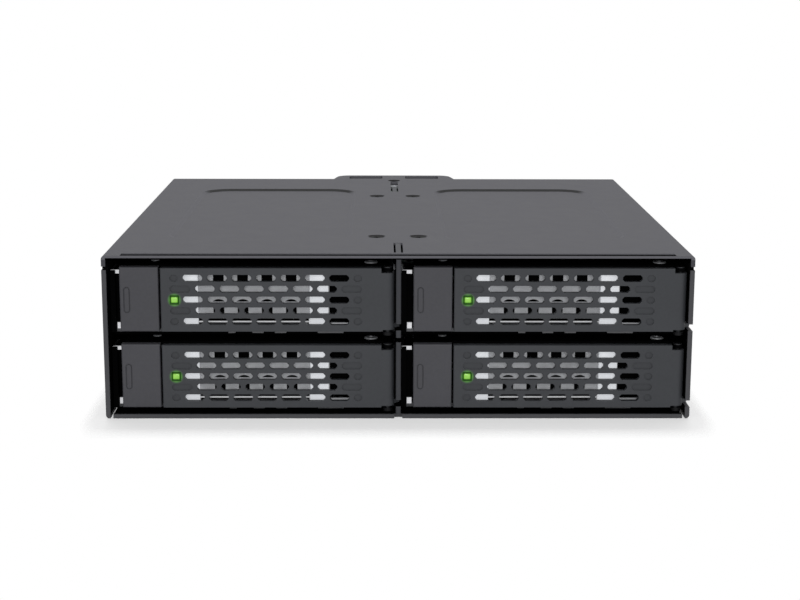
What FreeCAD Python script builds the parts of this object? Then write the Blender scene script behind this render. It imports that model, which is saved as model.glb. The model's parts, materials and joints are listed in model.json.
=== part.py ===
import FreeCAD, Part

import math
import os

# Hot swap drive cage: a sheet steel cage with a board and a fan at its back,
# and four drive trays, each with its own lever, latch, light and drive space.
# X runs across the front, Y from the front edge to the back, and Z up.
# The origin is under the middle of the whole cage. Lengths are millimetres.

# ---- cage envelope ----
cage_width = 146.0
cage_height = 41.3
body_depth = 143.0

# ---- cage sheets ----
wall_thick = 1.1
floor_thick = 1.0
cover_thick = 1.0
divider_thick = 1.3
shelf_thick = 1.0
bend_radius = 0.9
sheet_gap = 0.1           # between sheets that locate each other

# ---- cover ----
flange_drop = 2.7         # side flange, measured from the top of the cage
flange_gap = 0.9          # dark line between the flange and the wall below it
panel_start = 23.0        # two shallow pressed panels
panel_rear_inset = 24.0   # from the back edge of the cover
panel_inner = 12.0        # from the middle to the near edge of a panel
panel_side_inset = 13.0   # from the side of the cage
panel_corner = 9.0
panel_depth = 0.6
panel_slope = 1.1
tab_reach = 9.0           # tab that reaches over the fan
tab_side_inset = 0.2      # inside the fan's width
tab_taper = 1.8           # on each side, from root to tip
tab_corner = 4.0
window_width = 10.9       # two windows in the tab
window_length = 6.2
window_inner = 3.8
window_corner = 0.8
spine_slot_width = 2.3    # slots over the divider's tongues
spine_front_start = 4.8
spine_front_length = 14.3
spine_rear_inset = 11.5   # in front of the board
spine_rear_length = 24.0
lip_seam_start = 1.9      # seam behind the folded front lip
lip_seam_width = 1.5
lip_seam_depth = 0.3
lip_seam_inset = 4.6      # from each side
lip_rebate_length = 4.0   # the lip is thinner than the sheet
lip_rebate_rise = 0.4
cover_screw_offset = 5.5
cover_screw_inset = 7.0   # from the front end of the divider's flange
cover_screw_rear_inset = 8.5
screw_head_radius = 2.5
screw_shank_radius = 1.25
screw_head_depth = 0.8
screw_length = 2.2
screw_fit = 0.05
rear_screw_head_radius = 2.0
rear_screw_inset = 4.0    # from the back edge of the cover

# ---- chassis ----
lap_tab_thick = 0.9       # tabs inside the walls that the cover drops over
lap_tab_length = 22.0
lap_tab_count = 3
lap_tab_first = 24.0
lap_tab_rear_gap = 6.5    # in front of the board
lap_tab_lap = 0.8
relief_width = 0.7        # corner reliefs at the front of the floor
relief_length = 11.0
middle_relief_width = 1.0  # on each side of the divider
middle_relief_length = 1.3
runner_width = 3.0        # raised runners that the trays slide on
runner_rise = 0.25
runner_start = 17.0
runner_rear_inset = 3.5   # from the back of the shelf
runner_inset = 7.0
mount_spacing_y = 79.25   # fixing holes of a half-height drive bay
mount_rear_inset = 11.45
mount_side_low = 10.0
mount_side_spacing = 11.84
mount_floor_inset = 3.15
mount_hole_radius = 1.5
tongue_length = 14.0      # divider tongues in the floor
tongue_floor_places = (20.0, 92.0)
board_ear_width = 5.6     # folded ears that carry the board
board_ear_height = 5.0
board_ear_thick = 1.0
board_ear_rise = 11.55    # above the tray's underside
board_screw_inset = 2.9
board_screw_radius = 0.95
board_screw_head_radius = 1.9
board_screw_head = 1.2

# ---- divider and shelf ----
hem_radius = 0.45
divider_setback = 0.4
divider_flange_width = 8.4
divider_flange_thick = 1.0
divider_flange_start = 22.0
divider_flange_rear_gap = 12.5
halving_depth = 60.0      # the shelf passes the divider up to here
shelf_setback = 9.0
shelf_rear_gap = 12.0     # between the shelf and the board
shelf_tab_length = 8.0
shelf_tab_first = 12.0
shelf_tab_pitch = 36.0    # between the last two tabs
shelf_tab_rear_inset = 14.5

# ---- tray bays ----
bay_headroom = 0.3        # extra height over the upper trays
runner_gap = 0.2          # between a runner and the tray above it

# ---- tray pan ----
pan_side_gap = 0.15
pan_thick = 0.8
pan_wall_thick = 0.5
pan_wall_height = 6.2
pan_start = 6.0
drive_start = 14.5
rear_room = 16.9          # behind the board, for plugs and the fan bracket
pan_end_gap = 1.2
drive_fit = 0.05          # between a drive and the pan's walls
drive_hole_side = 4.065   # from the side of a drive
drive_hole_from_front = 9.6
drive_hole_from_plug = 14.0
drive_hole_radius = 1.6
drive_sink_radius = 2.8
pan_window_width = 13.0
pan_window_bridge = 6.0
pan_window_columns = 3
pan_window_corner = 3.0
pan_window_pitch_x = 17.0
pan_window_rear_inset = 11.5
pan_window_rows = 3
pan_window_first = 24.0
lug_reach = 2.1           # steel lugs beside the bezel
lug_thick = 0.5
lug_top_height = 0.9
lug_foot_height = 2.3
lug_foot_width = 1.2
lug_start = 6.0
fin_thick = 0.9           # moulded fin in front of the lugs
fin_gap = 0.15
ear_head_gap = 1.35       # below the top of the bezel
lip_tab_reach = 1.8
lip_tab_starts = (26.4, 32.4, 38.0, 48.7)
lip_tab_widths = (1.7, 2.7, 2.8, 6.4)

# ---- bezel: latch plate and ventilated lever ----
bezel_lug_gap = 3.05      # at the left of the bezel, for the lugs
bezel_head_gap = 1.0      # between the bezel and the shelf above it
bezel_setback = 1.0       # behind the front edge of the cage
bezel_side_gap = 0.4      # between the lever and the wall at its right
bezel_foot_gap = 0.3      # above the pan
latch_plate_width = 9.6
latch_plate_rise = 0.3
seam_width = 0.45
plate_thick = 1.4
rim_depth = 0.8
rim_width = 1.0
edge_round = 0.35
slot_length = 4.9
slot_height = 1.75
slot_crop = 0.55
slot_pitch = 6.03
row_pitch = 2.73
row_count = 5
row_margin = 13.6         # at least, right of the last slot's centre
first_slot_centre = 18.0  # from the left edge of the bezel
blind_left = 12.4
blind_right_inset = 8.0   # from the right edge of the bezel
blind_depth = 0.35
lens_centre = 13.5
lens_size = 2.3
lens_fit = 0.05
lens_proud = 0.12
nose_width = 1.3
nose_reach = 2.0

# ---- lever hinge ----
pin_radius = 0.75
pin_fit = 0.05
pin_head_radius = 1.1
pin_head = 0.25
barrel_radius = 1.6
ear_radius = 1.2
ear_thick = 0.9
ear_gap = 0.3
knuckle_gap = 0.4
cam_height = 1.0
cam_reach_x = 2.9
cam_reach_y = 2.0
cam_width = 1.5
keeper_clearance = 0.35
keeper_depth = 5.9

# ---- tray front frame ----
frame_start = 6.9
frame_top_start = 5.6
frame_end_gap = 0.3       # in front of the drive
frame_top_thick = 1.2
frame_left = 3.4
frame_side_gap = 0.25     # between the frame and the pan's walls
post_block_width = 7.6
rivet_inset_x = 5.8       # ring rivet, from the right edge of the bezel
rivet_inset_y = 8.3       # and from its face
rivet_radius = 1.7
rivet_hole_radius = 0.8
rivet_hollow_radius = 0.55
rivet_rise = 0.35
latch_pivot_x = 7.6       # from the left edge of the bezel
latch_pivot_y = 11.0      # and from its face
latch_post_radius = 0.9
latch_post_fit = 0.05
latch_boss_radius = 1.8
latch_boss_low = 4.0
latch_boss_height = 9.0
latch_arm_width = 2.4
latch_arm_height = 3.4
latch_catch_reach = 1.3
latch_catch_depth = 1.6
pill_width = 1.65
pill_height = 6.6
pill_line = 0.3
pill_depth = 0.3
pill_centre = 1.75

# ---- shield behind the vents ----
shield_thick = 0.5
shield_start = 4.9
shield_left = 12.6        # from the left edge of the bezel
shield_right_inset = 16.2 # from the right edge of the bezel
shield_foot_inset = 5.8
shield_foot = 0.9         # above the foot of the bezel
shield_head_gap = 0.5
shield_drop = 0.9         # its holes sit lower than the vents in front
shield_hole_width = 2.7
shield_hole_height = 2.2
shield_sill = 0.6         # foot of the middle above the foot of the sides
shield_sill_bar = 0.35
shield_sill_gap = 0.65
strip_left_start = 15.2
strip_left_width = 3.8
strip_right_inset = 21.3
strip_right_width = 4.9
strip_rise = 0.4
moon_width = 3.1
moon_height = 0.65
stay_width = 4.0

# ---- backplane ----
socket_depth = 9.1
socket_width = 42.4
socket_height = 6.4
socket_foot = 0.2         # above the drive's underside
socket_left = 4.0         # from the left wall of the bay
socket_slot_width = 33.4
socket_slot_height = 2.4
socket_slot_depth = 6.0
socket_tongue_height = 1.0
socket_post_width = 2.2
drive_to_socket = 0.7
board_thick = 1.6
board_edge_gap = 0.3
board_foot_gap = 0.6
board_window_height = 5.6
board_window_foot = 10.0
board_window_left = 9.0
board_window_width = 24.0
board_window_pitch = 28.0
board_window_corner = 1.5
port_centre_z = 4.6       # above the tray's underside
data_port_inset = 5.6     # from the wall of the cage
data_port_width = 16.6
data_port_height = 6.2
data_port_depth = 8.6
data_tongue_width = 10.4
port_gap = 1.4
power_port_width = 24.6
power_port_height = 6.2
power_port_depth = 8.6
power_tongue_width = 20.6
port_wall = 1.0
port_tongue_height = 1.2
switch_gap = 11.45        # between the data plug and the switch
switch_width = 8.5
switch_height = 3.6
switch_depth = 3.4
knob_width = 2.0
knob_height = 1.4
knob_depth = 1.7
knob_travel = 2.0
knob_fit = 0.15

# ---- fan ----
fan_foot_gap = 0.15       # over the surface that the cage stands on
fan_depth = 10.0
fan_gap = 0.5             # between the fan's back and the tip of the tab
fan_head_gap = 0.15       # under the tab
fan_rim = 1.1             # thinnest wall round the duct
fan_corner = 2.5
fan_screw_inset = 4.0
fan_screw_radius = 1.4
fan_screw_fit = 0.05
fan_screw_head_radius = 2.6
fan_screw_head = 1.5
fan_hub_radius = 10.0
fan_hub_thick = 2.2
fan_hub_skin = 1.0
fan_strut_width = 2.2
fan_strut_count = 4
rotor_hub_radius = 9.6
rotor_hub_wall = 1.2
rotor_blades = 7
rotor_tip_gap = 0.5
rotor_end_gap = 0.6
rotor_blade_thick = 0.9
rotor_blade_twist = 38.0
shaft_radius = 1.5
shaft_fit = 0.05
shaft_engagement = 0.95
bracket_thick = 1.0
bracket_side = 4.0
bracket_foot_length = 7.0
bracket_foot_width = 25.0
bracket_screw_x = 8.0
bracket_corner = 2.0
bracket_head_gap = 0.2
bracket_head_width = 20.0

# ---- values that follow from the ones above ----
through = 2.0             # how far a cutter runs past the sheet it cuts
half_width = cage_width / 2
wall_inner = half_width - wall_thick
front_y = -(body_depth + tab_reach) / 2
cover_under = cage_height - cover_thick
flange_foot = cage_height - flange_drop
wall_top = flange_foot - flange_gap
half_divider = divider_thick / 2
bay_width = wall_inner - half_divider
pan_foot = floor_thick + runner_rise + runner_gap
bay_pitch = (cover_under - floor_thick - bay_headroom) / 2
shelf_top = floor_thick + bay_pitch
shelf_low = shelf_top - shelf_thick
bays = (
    (-wall_inner, pan_foot + bay_pitch),
    (half_divider, pan_foot + bay_pitch),
    (-wall_inner, pan_foot),
    (half_divider, pan_foot),
)

pan_left = pan_side_gap
pan_right = bay_width - pan_side_gap
board_back = body_depth - rear_room
board_front = board_back - board_thick
drive_end = board_front - socket_depth - drive_to_socket
drive_length = drive_end - drive_start
pan_end = drive_end - pan_end_gap
bezel_right = bay_width - bezel_side_gap
bezel_left = bezel_lug_gap
bezel_foot = pan_thick + bezel_foot_gap
bezel_top = bay_pitch - shelf_thick - runner_rise - runner_gap - bezel_head_gap
bezel_middle = (bezel_foot + bezel_top) / 2
bezel_back = bezel_setback + plate_thick + rim_depth
latch_right = bezel_left + latch_plate_width
lever_left = latch_right + seam_width
pin_x = bezel_right - barrel_radius
pin_y = bezel_setback + barrel_radius
ear_low = bezel_top - ear_thick
knuckle_low = bezel_foot + knuckle_gap
knuckle_high = ear_low - ear_gap
cam_low = knuckle_low + ear_gap
cam_high = cam_low + cam_height
slots_in_long_row = 1 + int((bezel_right - bezel_left - first_slot_centre - row_margin) / slot_pitch)
ear_height = bezel_top - ear_head_gap
frame_top = bezel_top
frame_end = drive_start - frame_end_gap
frame_right = pan_right - pan_wall_thick - frame_side_gap
latch_x = bezel_left + latch_pivot_x
latch_y = bezel_setback + latch_pivot_y
rivet_x = bezel_right - rivet_inset_x
rivet_y = bezel_setback + rivet_inset_y
board_low = floor_thick + board_foot_gap
board_high = cover_under - board_foot_gap
board_side = wall_inner - board_edge_gap
shelf_end = board_front - shelf_rear_gap
flange_end = board_front - divider_flange_rear_gap
fan_back = body_depth + tab_reach - fan_gap
fan_front = fan_back - fan_depth
fan_high = cover_under - fan_head_gap
fan_size = fan_high - fan_foot_gap
fan_middle = fan_high - fan_size / 2
fan_bore_radius = fan_size / 2 - fan_rim
bracket_front = fan_front - bracket_thick
half_fan = fan_size / 2
port_right = wall_inner - data_port_inset
port_left = port_right - data_port_width
switch_x = port_left - switch_gap - switch_width / 2
spine_slots = (
    (spine_front_start, spine_front_length),
    (board_front - spine_rear_inset, spine_rear_length),
)


# ---- shapes that repeat ----
def block(x, y, z):
    """A box between the two limits given for each direction."""
    size = (x[1] - x[0], y[1] - y[0], z[1] - z[0])
    return Part.makeBox(size[0], size[1], size[2], FreeCAD.Vector(x[0], y[0], z[0]))


def rounded_block(x, y, z, radius):
    """A box with its four upright edges rounded."""
    solid = block(x, y, z)
    return solid.makeFillet(radius, edges_along(solid, "z"))


def edges_along(solid, direction):
    """The straight edges of a solid that run along one axis."""
    other = {"x": ("y", "z"), "y": ("x", "z"), "z": ("x", "y")}[direction]
    found = []
    for edge in solid.Edges:
        if len(edge.Vertexes) < 2:
            continue
        step = edge.Vertexes[1].Point - edge.Vertexes[0].Point
        across = abs(getattr(step, other[0])) + abs(getattr(step, other[1]))
        if across < 1e-6 and isinstance(edge.Curve, (Part.Line, Part.LineSegment)):
            found.append(edge)
    return found


def prism(points, low, high):
    """An outline in X and Y, raised from low to high."""
    corners = [FreeCAD.Vector(x, y, low) for x, y in points]
    face = Part.Face(Part.makePolygon(corners + corners[:1]))
    return face.extrude(FreeCAD.Vector(0, 0, high - low))


def prism_along_y(points, start, end):
    """An outline in X and Z, drawn out from start to end along Y."""
    corners = [FreeCAD.Vector(x, start, z) for x, z in points]
    face = Part.Face(Part.makePolygon(corners + corners[:1]))
    return face.extrude(FreeCAD.Vector(0, end - start, 0))


def rod(x, y, z, radius):
    """An upright round rod between the two heights in z."""
    return Part.makeCylinder(radius, z[1] - z[0], FreeCAD.Vector(x, y, z[0]))


def rod_along_y(x, z, y, radius):
    """A round rod along Y between the two places in y."""
    start = FreeCAD.Vector(x, y[0], z)
    return Part.makeCylinder(radius, y[1] - y[0], start, FreeCAD.Vector(0, 1, 0))


def rod_along_x(y, z, x, radius):
    """A round rod along X between the two places in x."""
    start = FreeCAD.Vector(x[0], y, z)
    return Part.makeCylinder(radius, x[1] - x[0], start, FreeCAD.Vector(1, 0, 0))


def cropped_slot(x, z, y, length, height, crop):
    """A slot along Y with cropped corners, centred on x and z."""
    half = length / 2
    rise = height / 2
    points = [(x - half, z - rise + crop), (x - half + crop, z - rise),
              (x + half - crop, z - rise), (x + half, z - rise + crop),
              (x + half, z + rise - crop), (x + half - crop, z + rise),
              (x - half + crop, z + rise), (x - half, z + rise - crop)]
    return prism_along_y(points, y[0], y[1])


def rounded_outline(x, y, radius, z):
    """A closed wire: a rectangle with round corners at height z."""
    solid = rounded_block(x, y, (z, z + 1), radius)
    return min(solid.Faces, key=lambda face: face.CenterOfMass.z).OuterWire


def joined(shapes):
    """One solid made of the given shapes."""
    return shapes[0].multiFuse(shapes[1:]).removeSplitter()


def group(shapes):
    """Several separate solids kept in one part."""
    return Part.makeCompound(shapes)


def mirrored(shape):
    """The same shape on the other side of the middle plane."""
    return shape.mirror(FreeCAD.Vector(0, 0, 0), FreeCAD.Vector(1, 0, 0))


def both_sides(shapes):
    """The given shapes and their mirror images."""
    return shapes + [mirrored(shape) for shape in shapes]


def flat_head_screw(x, y, top, head_radius, shank_radius, length):
    """A countersunk screw whose flat head lies level with top."""
    cone = Part.makeCone(shank_radius, head_radius, screw_head_depth,
                         FreeCAD.Vector(x, y, top - screw_head_depth))
    shank = rod(x, y, (top - length, top - screw_head_depth), shank_radius)
    return joined([cone, shank])


def flat_head_seat(x, y, top, head_radius, shank_radius):
    """The hole that a countersunk screw fills, with its fit."""
    cone = Part.makeCone(shank_radius + screw_fit, head_radius + screw_fit,
                         screw_head_depth, FreeCAD.Vector(x, y, top - screw_head_depth))
    hole = rod(x, y, (top - cover_thick - divider_flange_thick - through, top),
               shank_radius + screw_fit)
    return joined([cone, hole])


# ---- cage ----
def runners(floor):
    """Raised runners in both bays, on the floor given."""
    span = (runner_start, shelf_end - runner_rear_inset)
    rise = (floor, floor + runner_rise)
    lanes = (runner_inset, bay_width / 2, bay_width - runner_inset)
    lefts = (-wall_inner, half_divider)
    return [block((left + lane - runner_width / 2, left + lane + runner_width / 2), span, rise)
            for left in lefts for lane in lanes]


def lap_tabs():
    """Tabs welded inside the right wall, over which the cover drops."""
    x = (wall_inner - lap_tab_thick, wall_inner)
    z = (wall_top - lap_tab_lap, cover_under - sheet_gap)
    last = board_front - lap_tab_rear_gap - lap_tab_length
    pitch = (last - lap_tab_first) / (lap_tab_count - 1)
    tabs = []
    for number in range(lap_tab_count):
        start = lap_tab_first + number * pitch
        tabs.append(block(x, (start, start + lap_tab_length), z))
    return tabs


def board_ear_centres():
    """Heights of the two ears on each wall."""
    return (pan_foot + board_ear_rise, pan_foot + bay_pitch + board_ear_rise)


def board_ears():
    """Ears folded in from the right wall behind the board."""
    x = (wall_inner - board_ear_width, wall_inner)
    y = (board_back, board_back + board_ear_thick)
    half = board_ear_height / 2
    return [block(x, y, (centre - half, centre + half)) for centre in board_ear_centres()]


def board_screw_places():
    """X and Z of the screws that hold the board to the ears."""
    x = wall_inner - board_screw_inset
    return [(side * x, z) for side in (-1, 1) for z in board_ear_centres()]


def keeper_notches(x):
    """Notches, open to the front, that the lever cams swing into."""
    cuts = []
    for foot in (pan_foot, pan_foot + bay_pitch):
        z = (foot + cam_low - keeper_clearance, foot + cam_high + keeper_clearance)
        cuts.append(block(x, (-through, keeper_depth), z))
    return cuts


def mount_places():
    """Y of the two pairs of fixing holes."""
    last = body_depth - mount_rear_inset
    return (last - mount_spacing_y, last)


def shelf_tab_places():
    """Y where each tab of the shelf starts."""
    last = shelf_end - shelf_tab_rear_inset
    return (shelf_tab_first, last - shelf_tab_pitch, last)


def side_holes():
    """Fixing holes in both walls, in two rows."""
    x = (-half_width - through, half_width + through)
    rows = (mount_side_low, mount_side_low + mount_side_spacing)
    return [rod_along_x(y, z, x, mount_hole_radius) for y in mount_places() for z in rows]


def floor_holes():
    """Fixing holes in the floor."""
    z = (-through, floor_thick + runner_rise + through)
    half = half_width - mount_floor_inset
    return [rod(x, y, z, mount_hole_radius) for y in mount_places() for x in (-half, half)]


def shelf_tab_slots():
    """Slots in the right wall for the tabs of the shelf."""
    x = (wall_inner - through, half_width + through)
    z = (shelf_low - sheet_gap, shelf_top + sheet_gap)
    return [block(x, (start - sheet_gap, start + shelf_tab_length + sheet_gap), z)
            for start in shelf_tab_places()]


def floor_tongue_slots():
    """Slots in the floor for the tongues of the divider."""
    x = (-half_divider - sheet_gap, half_divider + sheet_gap)
    return [block(x, (start - sheet_gap, start + tongue_length + sheet_gap),
                  (-through, floor_thick + through))
            for start in tongue_floor_places]


def chassis():
    """Floor and two walls folded from one sheet, with lap tabs and ears."""
    shell = block((-half_width, half_width), (0, body_depth), (0, wall_top))
    corners = [edge for edge in edges_along(shell, "y") if edge.Vertexes[0].Z < wall_top / 2]
    shell = shell.makeFillet(bend_radius, corners)
    inside = block((-wall_inner, wall_inner), (-through, body_depth + through),
                   (floor_thick, wall_top + through))
    reliefs = both_sides([block((wall_inner - relief_width, wall_inner),
                                (-through, relief_length), (-through, floor_thick))])
    reliefs.append(block((-middle_relief_width, middle_relief_width), (-through, middle_relief_length),
                         (-through, floor_thick)))
    fan_notch = block((-half_fan - fan_gap, half_fan + fan_gap),
                      (fan_front - fan_gap, body_depth + through), (-through, floor_thick))
    sides = both_sides(shelf_tab_slots()) + keeper_notches((wall_inner, half_width + through))
    cuts = [inside, fan_notch] + reliefs + sides
    shell = shell.cut(cuts)
    shell = joined([shell] + runners(floor_thick) + both_sides(lap_tabs() + board_ears()))
    screw_holes = [rod_along_y(x, z, (board_back - through, board_back + board_ear_thick + through),
                               board_screw_radius + screw_fit)
                   for x, z in board_screw_places()]
    feet = [rod(x, y, (-through, floor_thick + through), screw_shank_radius + screw_fit)
            for x, y in bracket_screw_places()]
    return shell.cut(side_holes() + floor_holes() + floor_tongue_slots() + screw_holes + feet)


def panel_press(growth, slope, top, depth):
    """A sloped pan shape for one pressed panel of the cover."""
    x = (panel_inner - growth, half_width - panel_side_inset + growth)
    y = (panel_start - growth, body_depth - panel_rear_inset + growth)
    upper = rounded_outline(x, y, panel_corner + growth, top)
    x = (x[0] + slope, x[1] - slope)
    y = (y[0] + slope, y[1] - slope)
    lower = rounded_outline(x, y, panel_corner + growth - slope, top - depth)
    return Part.makeLoft([lower, upper], True)


def tab():
    """The tab over the fan, with its two windows."""
    back = body_depth + tab_reach
    root = half_fan - tab_side_inset
    tip = root - tab_taper
    plate = prism([(-root, body_depth - bracket_thick), (root, body_depth - bracket_thick),
                   (root, body_depth), (tip, back), (-tip, back), (-root, body_depth)],
                  cover_under, cage_height)
    ends = [edge for edge in edges_along(plate, "z") if edge.Vertexes[0].Y > body_depth + through]
    plate = plate.makeFillet(tab_corner, ends)
    start = body_depth + window_corner
    window = rounded_block((window_inner, window_inner + window_width),
                           (start, start + window_length),
                           (cover_under - through, cage_height + through), window_corner)
    return plate.cut(both_sides([window]))


def cover():
    """Top sheet with side flanges, two pressed panels and the fan tab."""
    sheet = block((-half_width, half_width), (0, body_depth), (flange_foot, cage_height))
    tops = [edge for edge in edges_along(sheet, "y") if edge.Vertexes[0].Z > cover_under]
    sheet = sheet.makeFillet(bend_radius, tops)
    under = block((-half_width + cover_thick, half_width - cover_thick),
                  (-through, body_depth + through), (flange_foot - through, cover_under))
    sheet = joined([sheet.cut(under), tab()])
    pads = both_sides([panel_press(panel_slope / 2, panel_slope, cover_under, panel_depth)])
    cuts = both_sides([panel_press(0, panel_slope, cage_height, panel_depth)])
    seam_x = half_width - lip_seam_inset
    cuts.append(block((-seam_x, seam_x), (lip_seam_start, lip_seam_start + lip_seam_width),
                      (cage_height - lip_seam_depth, cage_height + through)))
    cuts.append(block((-half_width + cover_thick, half_width - cover_thick), (-through, lip_rebate_length),
                      (cover_under - through, cover_under + lip_rebate_rise)))
    for start, length in spine_slots:
        cuts.append(block((-spine_slot_width / 2, spine_slot_width / 2), (start, start + length),
                          (cover_under - through, cage_height + through)))
    for x, y in cover_screw_spots():
        cuts.append(flat_head_seat(x, y, cage_height, screw_head_radius, screw_shank_radius))
    cuts.append(flat_head_seat(0, body_depth - rear_screw_inset, cage_height,
                               rear_screw_head_radius, screw_shank_radius))
    return joined([sheet] + pads).cut(cuts)


def cover_screw_spots():
    """X and Y of the four screws beside the divider."""
    places = (divider_flange_start + cover_screw_inset, flange_end - cover_screw_rear_inset)
    return [(x, y) for y in places for x in (-cover_screw_offset, cover_screw_offset)]


def divider():
    """Upright sheet between the bays, with a top flange and tongues."""
    thick = (-half_divider, half_divider)
    sheet = block(thick, (divider_setback, board_front - sheet_gap), (floor_thick, cover_under))
    front = [edge for edge in edges_along(sheet, "z") if edge.Vertexes[0].Y < through]
    sheet = sheet.makeFillet(hem_radius, front)
    flange = block((-divider_flange_width, divider_flange_width),
                   (divider_flange_start, flange_end),
                   (cover_under - divider_flange_thick, cover_under))
    tongues = []
    for start, length in spine_slots:
        end = min(start + length, board_front - sheet_gap)
        tongues.append(block(thick, (start + sheet_gap, end - sheet_gap),
                             (cover_under, cage_height - sheet_gap)))
    for start in tongue_floor_places:
        tongues.append(block(thick, (start, start + tongue_length), (sheet_gap, floor_thick)))
    cuts = [block((-through, through), (-through, halving_depth + sheet_gap),
                  (shelf_low - sheet_gap, shelf_top + sheet_gap))]
    cuts += keeper_notches((-through, through))
    for x, y in cover_screw_spots():
        cuts.append(flat_head_seat(x, y, cage_height, screw_head_radius, screw_shank_radius))
    return joined([sheet, flange] + tongues).cut(cuts)


def shelf():
    """One sheet across both bays, slotted to pass the divider."""
    z = (shelf_low, shelf_top)
    sheet = block((-wall_inner + sheet_gap, wall_inner - sheet_gap), (shelf_setback, shelf_end), z)
    tabs = [block((wall_inner - through, half_width - sheet_gap), (start, start + shelf_tab_length), z)
            for start in shelf_tab_places()]
    sheet = joined([sheet] + both_sides(tabs))
    halving = block((-half_divider - sheet_gap, half_divider + sheet_gap),
                    (halving_depth, shelf_end + through), (z[0] - through, z[1] + through))
    return joined([sheet] + runners(shelf_top)).cut(halving)


def cover_screws():
    """Flat-headed screws into the divider, and a small one into the fan bracket."""
    screws = [flat_head_screw(x, y, cage_height, screw_head_radius, screw_shank_radius,
                              screw_length) for x, y in cover_screw_spots()]
    screws.append(flat_head_screw(0, body_depth - rear_screw_inset, cage_height,
                                  rear_screw_head_radius, screw_shank_radius, screw_length))
    return group(screws)


# ---- backplane ----
def board():
    """The board across the back, with air windows above each socket."""
    plate = block((-board_side, board_side), (board_front, board_back), (board_low, board_high))
    cuts = [rod_along_y(x, z, (board_front - through, board_back + through),
                        board_screw_radius + screw_fit) for x, z in board_screw_places()]
    for left, foot in bays:
        low = foot + board_window_foot
        for number in range(2):
            start = left + board_window_left + number * board_window_pitch
            window = block((start, start + board_window_width),
                           (board_front - through, board_back + through),
                           (low, low + board_window_height))
            cuts.append(window.makeFillet(board_window_corner, edges_along(window, "y")))
    return plate.cut(cuts)


def board_screws():
    """Screws from the front of the board into the ears of the cage."""
    screws = []
    for x, z in board_screw_places():
        head = rod_along_y(x, z, (board_front - board_screw_head, board_front),
                           board_screw_head_radius)
        shank = rod_along_y(x, z, (board_front, board_back + board_ear_thick + sheet_gap),
                            board_screw_radius)
        screws.append(joined([head, shank]))
    return group(screws)


def drive_socket():
    """The socket that a drive plugs into, in the frame of its bay."""
    low = pan_thick + socket_foot
    x = (socket_left, socket_left + socket_width)
    y = (board_front - socket_depth, board_front)
    z = (low, low + socket_height)
    body = block(x, y, z)
    body = body.makeFillet(edge_round, edges_along(body, "y"))
    middle = (x[0] + x[1]) / 2
    centre = (z[0] + z[1]) / 2
    half = socket_slot_width / 2
    rise = socket_slot_height / 2
    slot = block((middle - half, middle + half), (y[0] - through, y[0] + socket_slot_depth),
                 (centre - rise, centre + rise))
    tongue = block((middle - half, middle + half), (y[0] + socket_slot_depth / 2,
                                                    y[0] + socket_slot_depth),
                   (centre - rise, centre - rise + socket_tongue_height))
    notches = [block((side - socket_post_width / 2, side + socket_post_width / 2),
                     (y[0] - through, y[0] + socket_slot_depth), (centre - rise, z[1] + through))
               for side in x]
    return joined([body.cut([slot] + notches), tongue])


def port(x, z, width, height, depth, tongue_width):
    """A shrouded plug on the back of the board with a tongue inside."""
    half = width / 2
    rise = height / 2
    y = (board_back, board_back + depth)
    shroud = block((x - half, x + half), y, (z - rise, z + rise))
    shroud = shroud.makeFillet(edge_round, edges_along(shroud, "y"))
    hollow = block((x - half + port_wall, x + half - port_wall),
                   (y[0] + port_wall, y[1] + through),
                   (z - rise + port_wall, z + rise - port_wall))
    tongue = block((x - tongue_width / 2, x + tongue_width / 2), (y[0], y[1] - port_wall),
                   (z - port_tongue_height / 2, z + port_tongue_height / 2))
    return joined([shroud.cut(hollow), tongue])


def data_port(side, foot):
    return port(side * (port_left + port_right) / 2, foot + port_centre_z, data_port_width, data_port_height,
                data_port_depth, data_tongue_width)


def power_port(side):
    x = port_left - port_gap - power_port_width / 2
    return port(side * x, bays[0][1] + port_centre_z, power_port_width,
                power_port_height, power_port_depth, power_tongue_width)


def switch_body():
    """The fan speed switch, with the slot that its knob runs in."""
    z = pan_foot + port_centre_z
    half = switch_width / 2
    rise = switch_height / 2
    y = (board_back, board_back + switch_depth)
    body = block((switch_x - half, switch_x + half), y, (z - rise, z + rise))
    body = body.makeFillet(edge_round, edges_along(body, "y"))
    run = knob_width / 2 + knob_travel / 2 + knob_fit
    lift = knob_height / 2 + knob_fit
    return body.cut(block((switch_x - run, switch_x + run), (y[1] - knob_depth / 2, y[1] + through),
                          (z - lift, z + lift)))


def switch_knob():
    """The knob of the switch, at one end of its travel."""
    z = pan_foot + port_centre_z
    x = switch_x - knob_travel / 2
    y = board_back + switch_depth
    knob = block((x - knob_width / 2, x + knob_width / 2),
                 (y - knob_depth / 2 + knob_fit, y + knob_depth),
                 (z - knob_height / 2, z + knob_height / 2))
    return knob


# ---- fan ----
def fan_corners():
    """X and Z of the four fan screws."""
    half = half_fan - fan_screw_inset
    return [(x, z) for x in (-half, half) for z in (fan_middle - half, fan_middle + half)]


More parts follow.
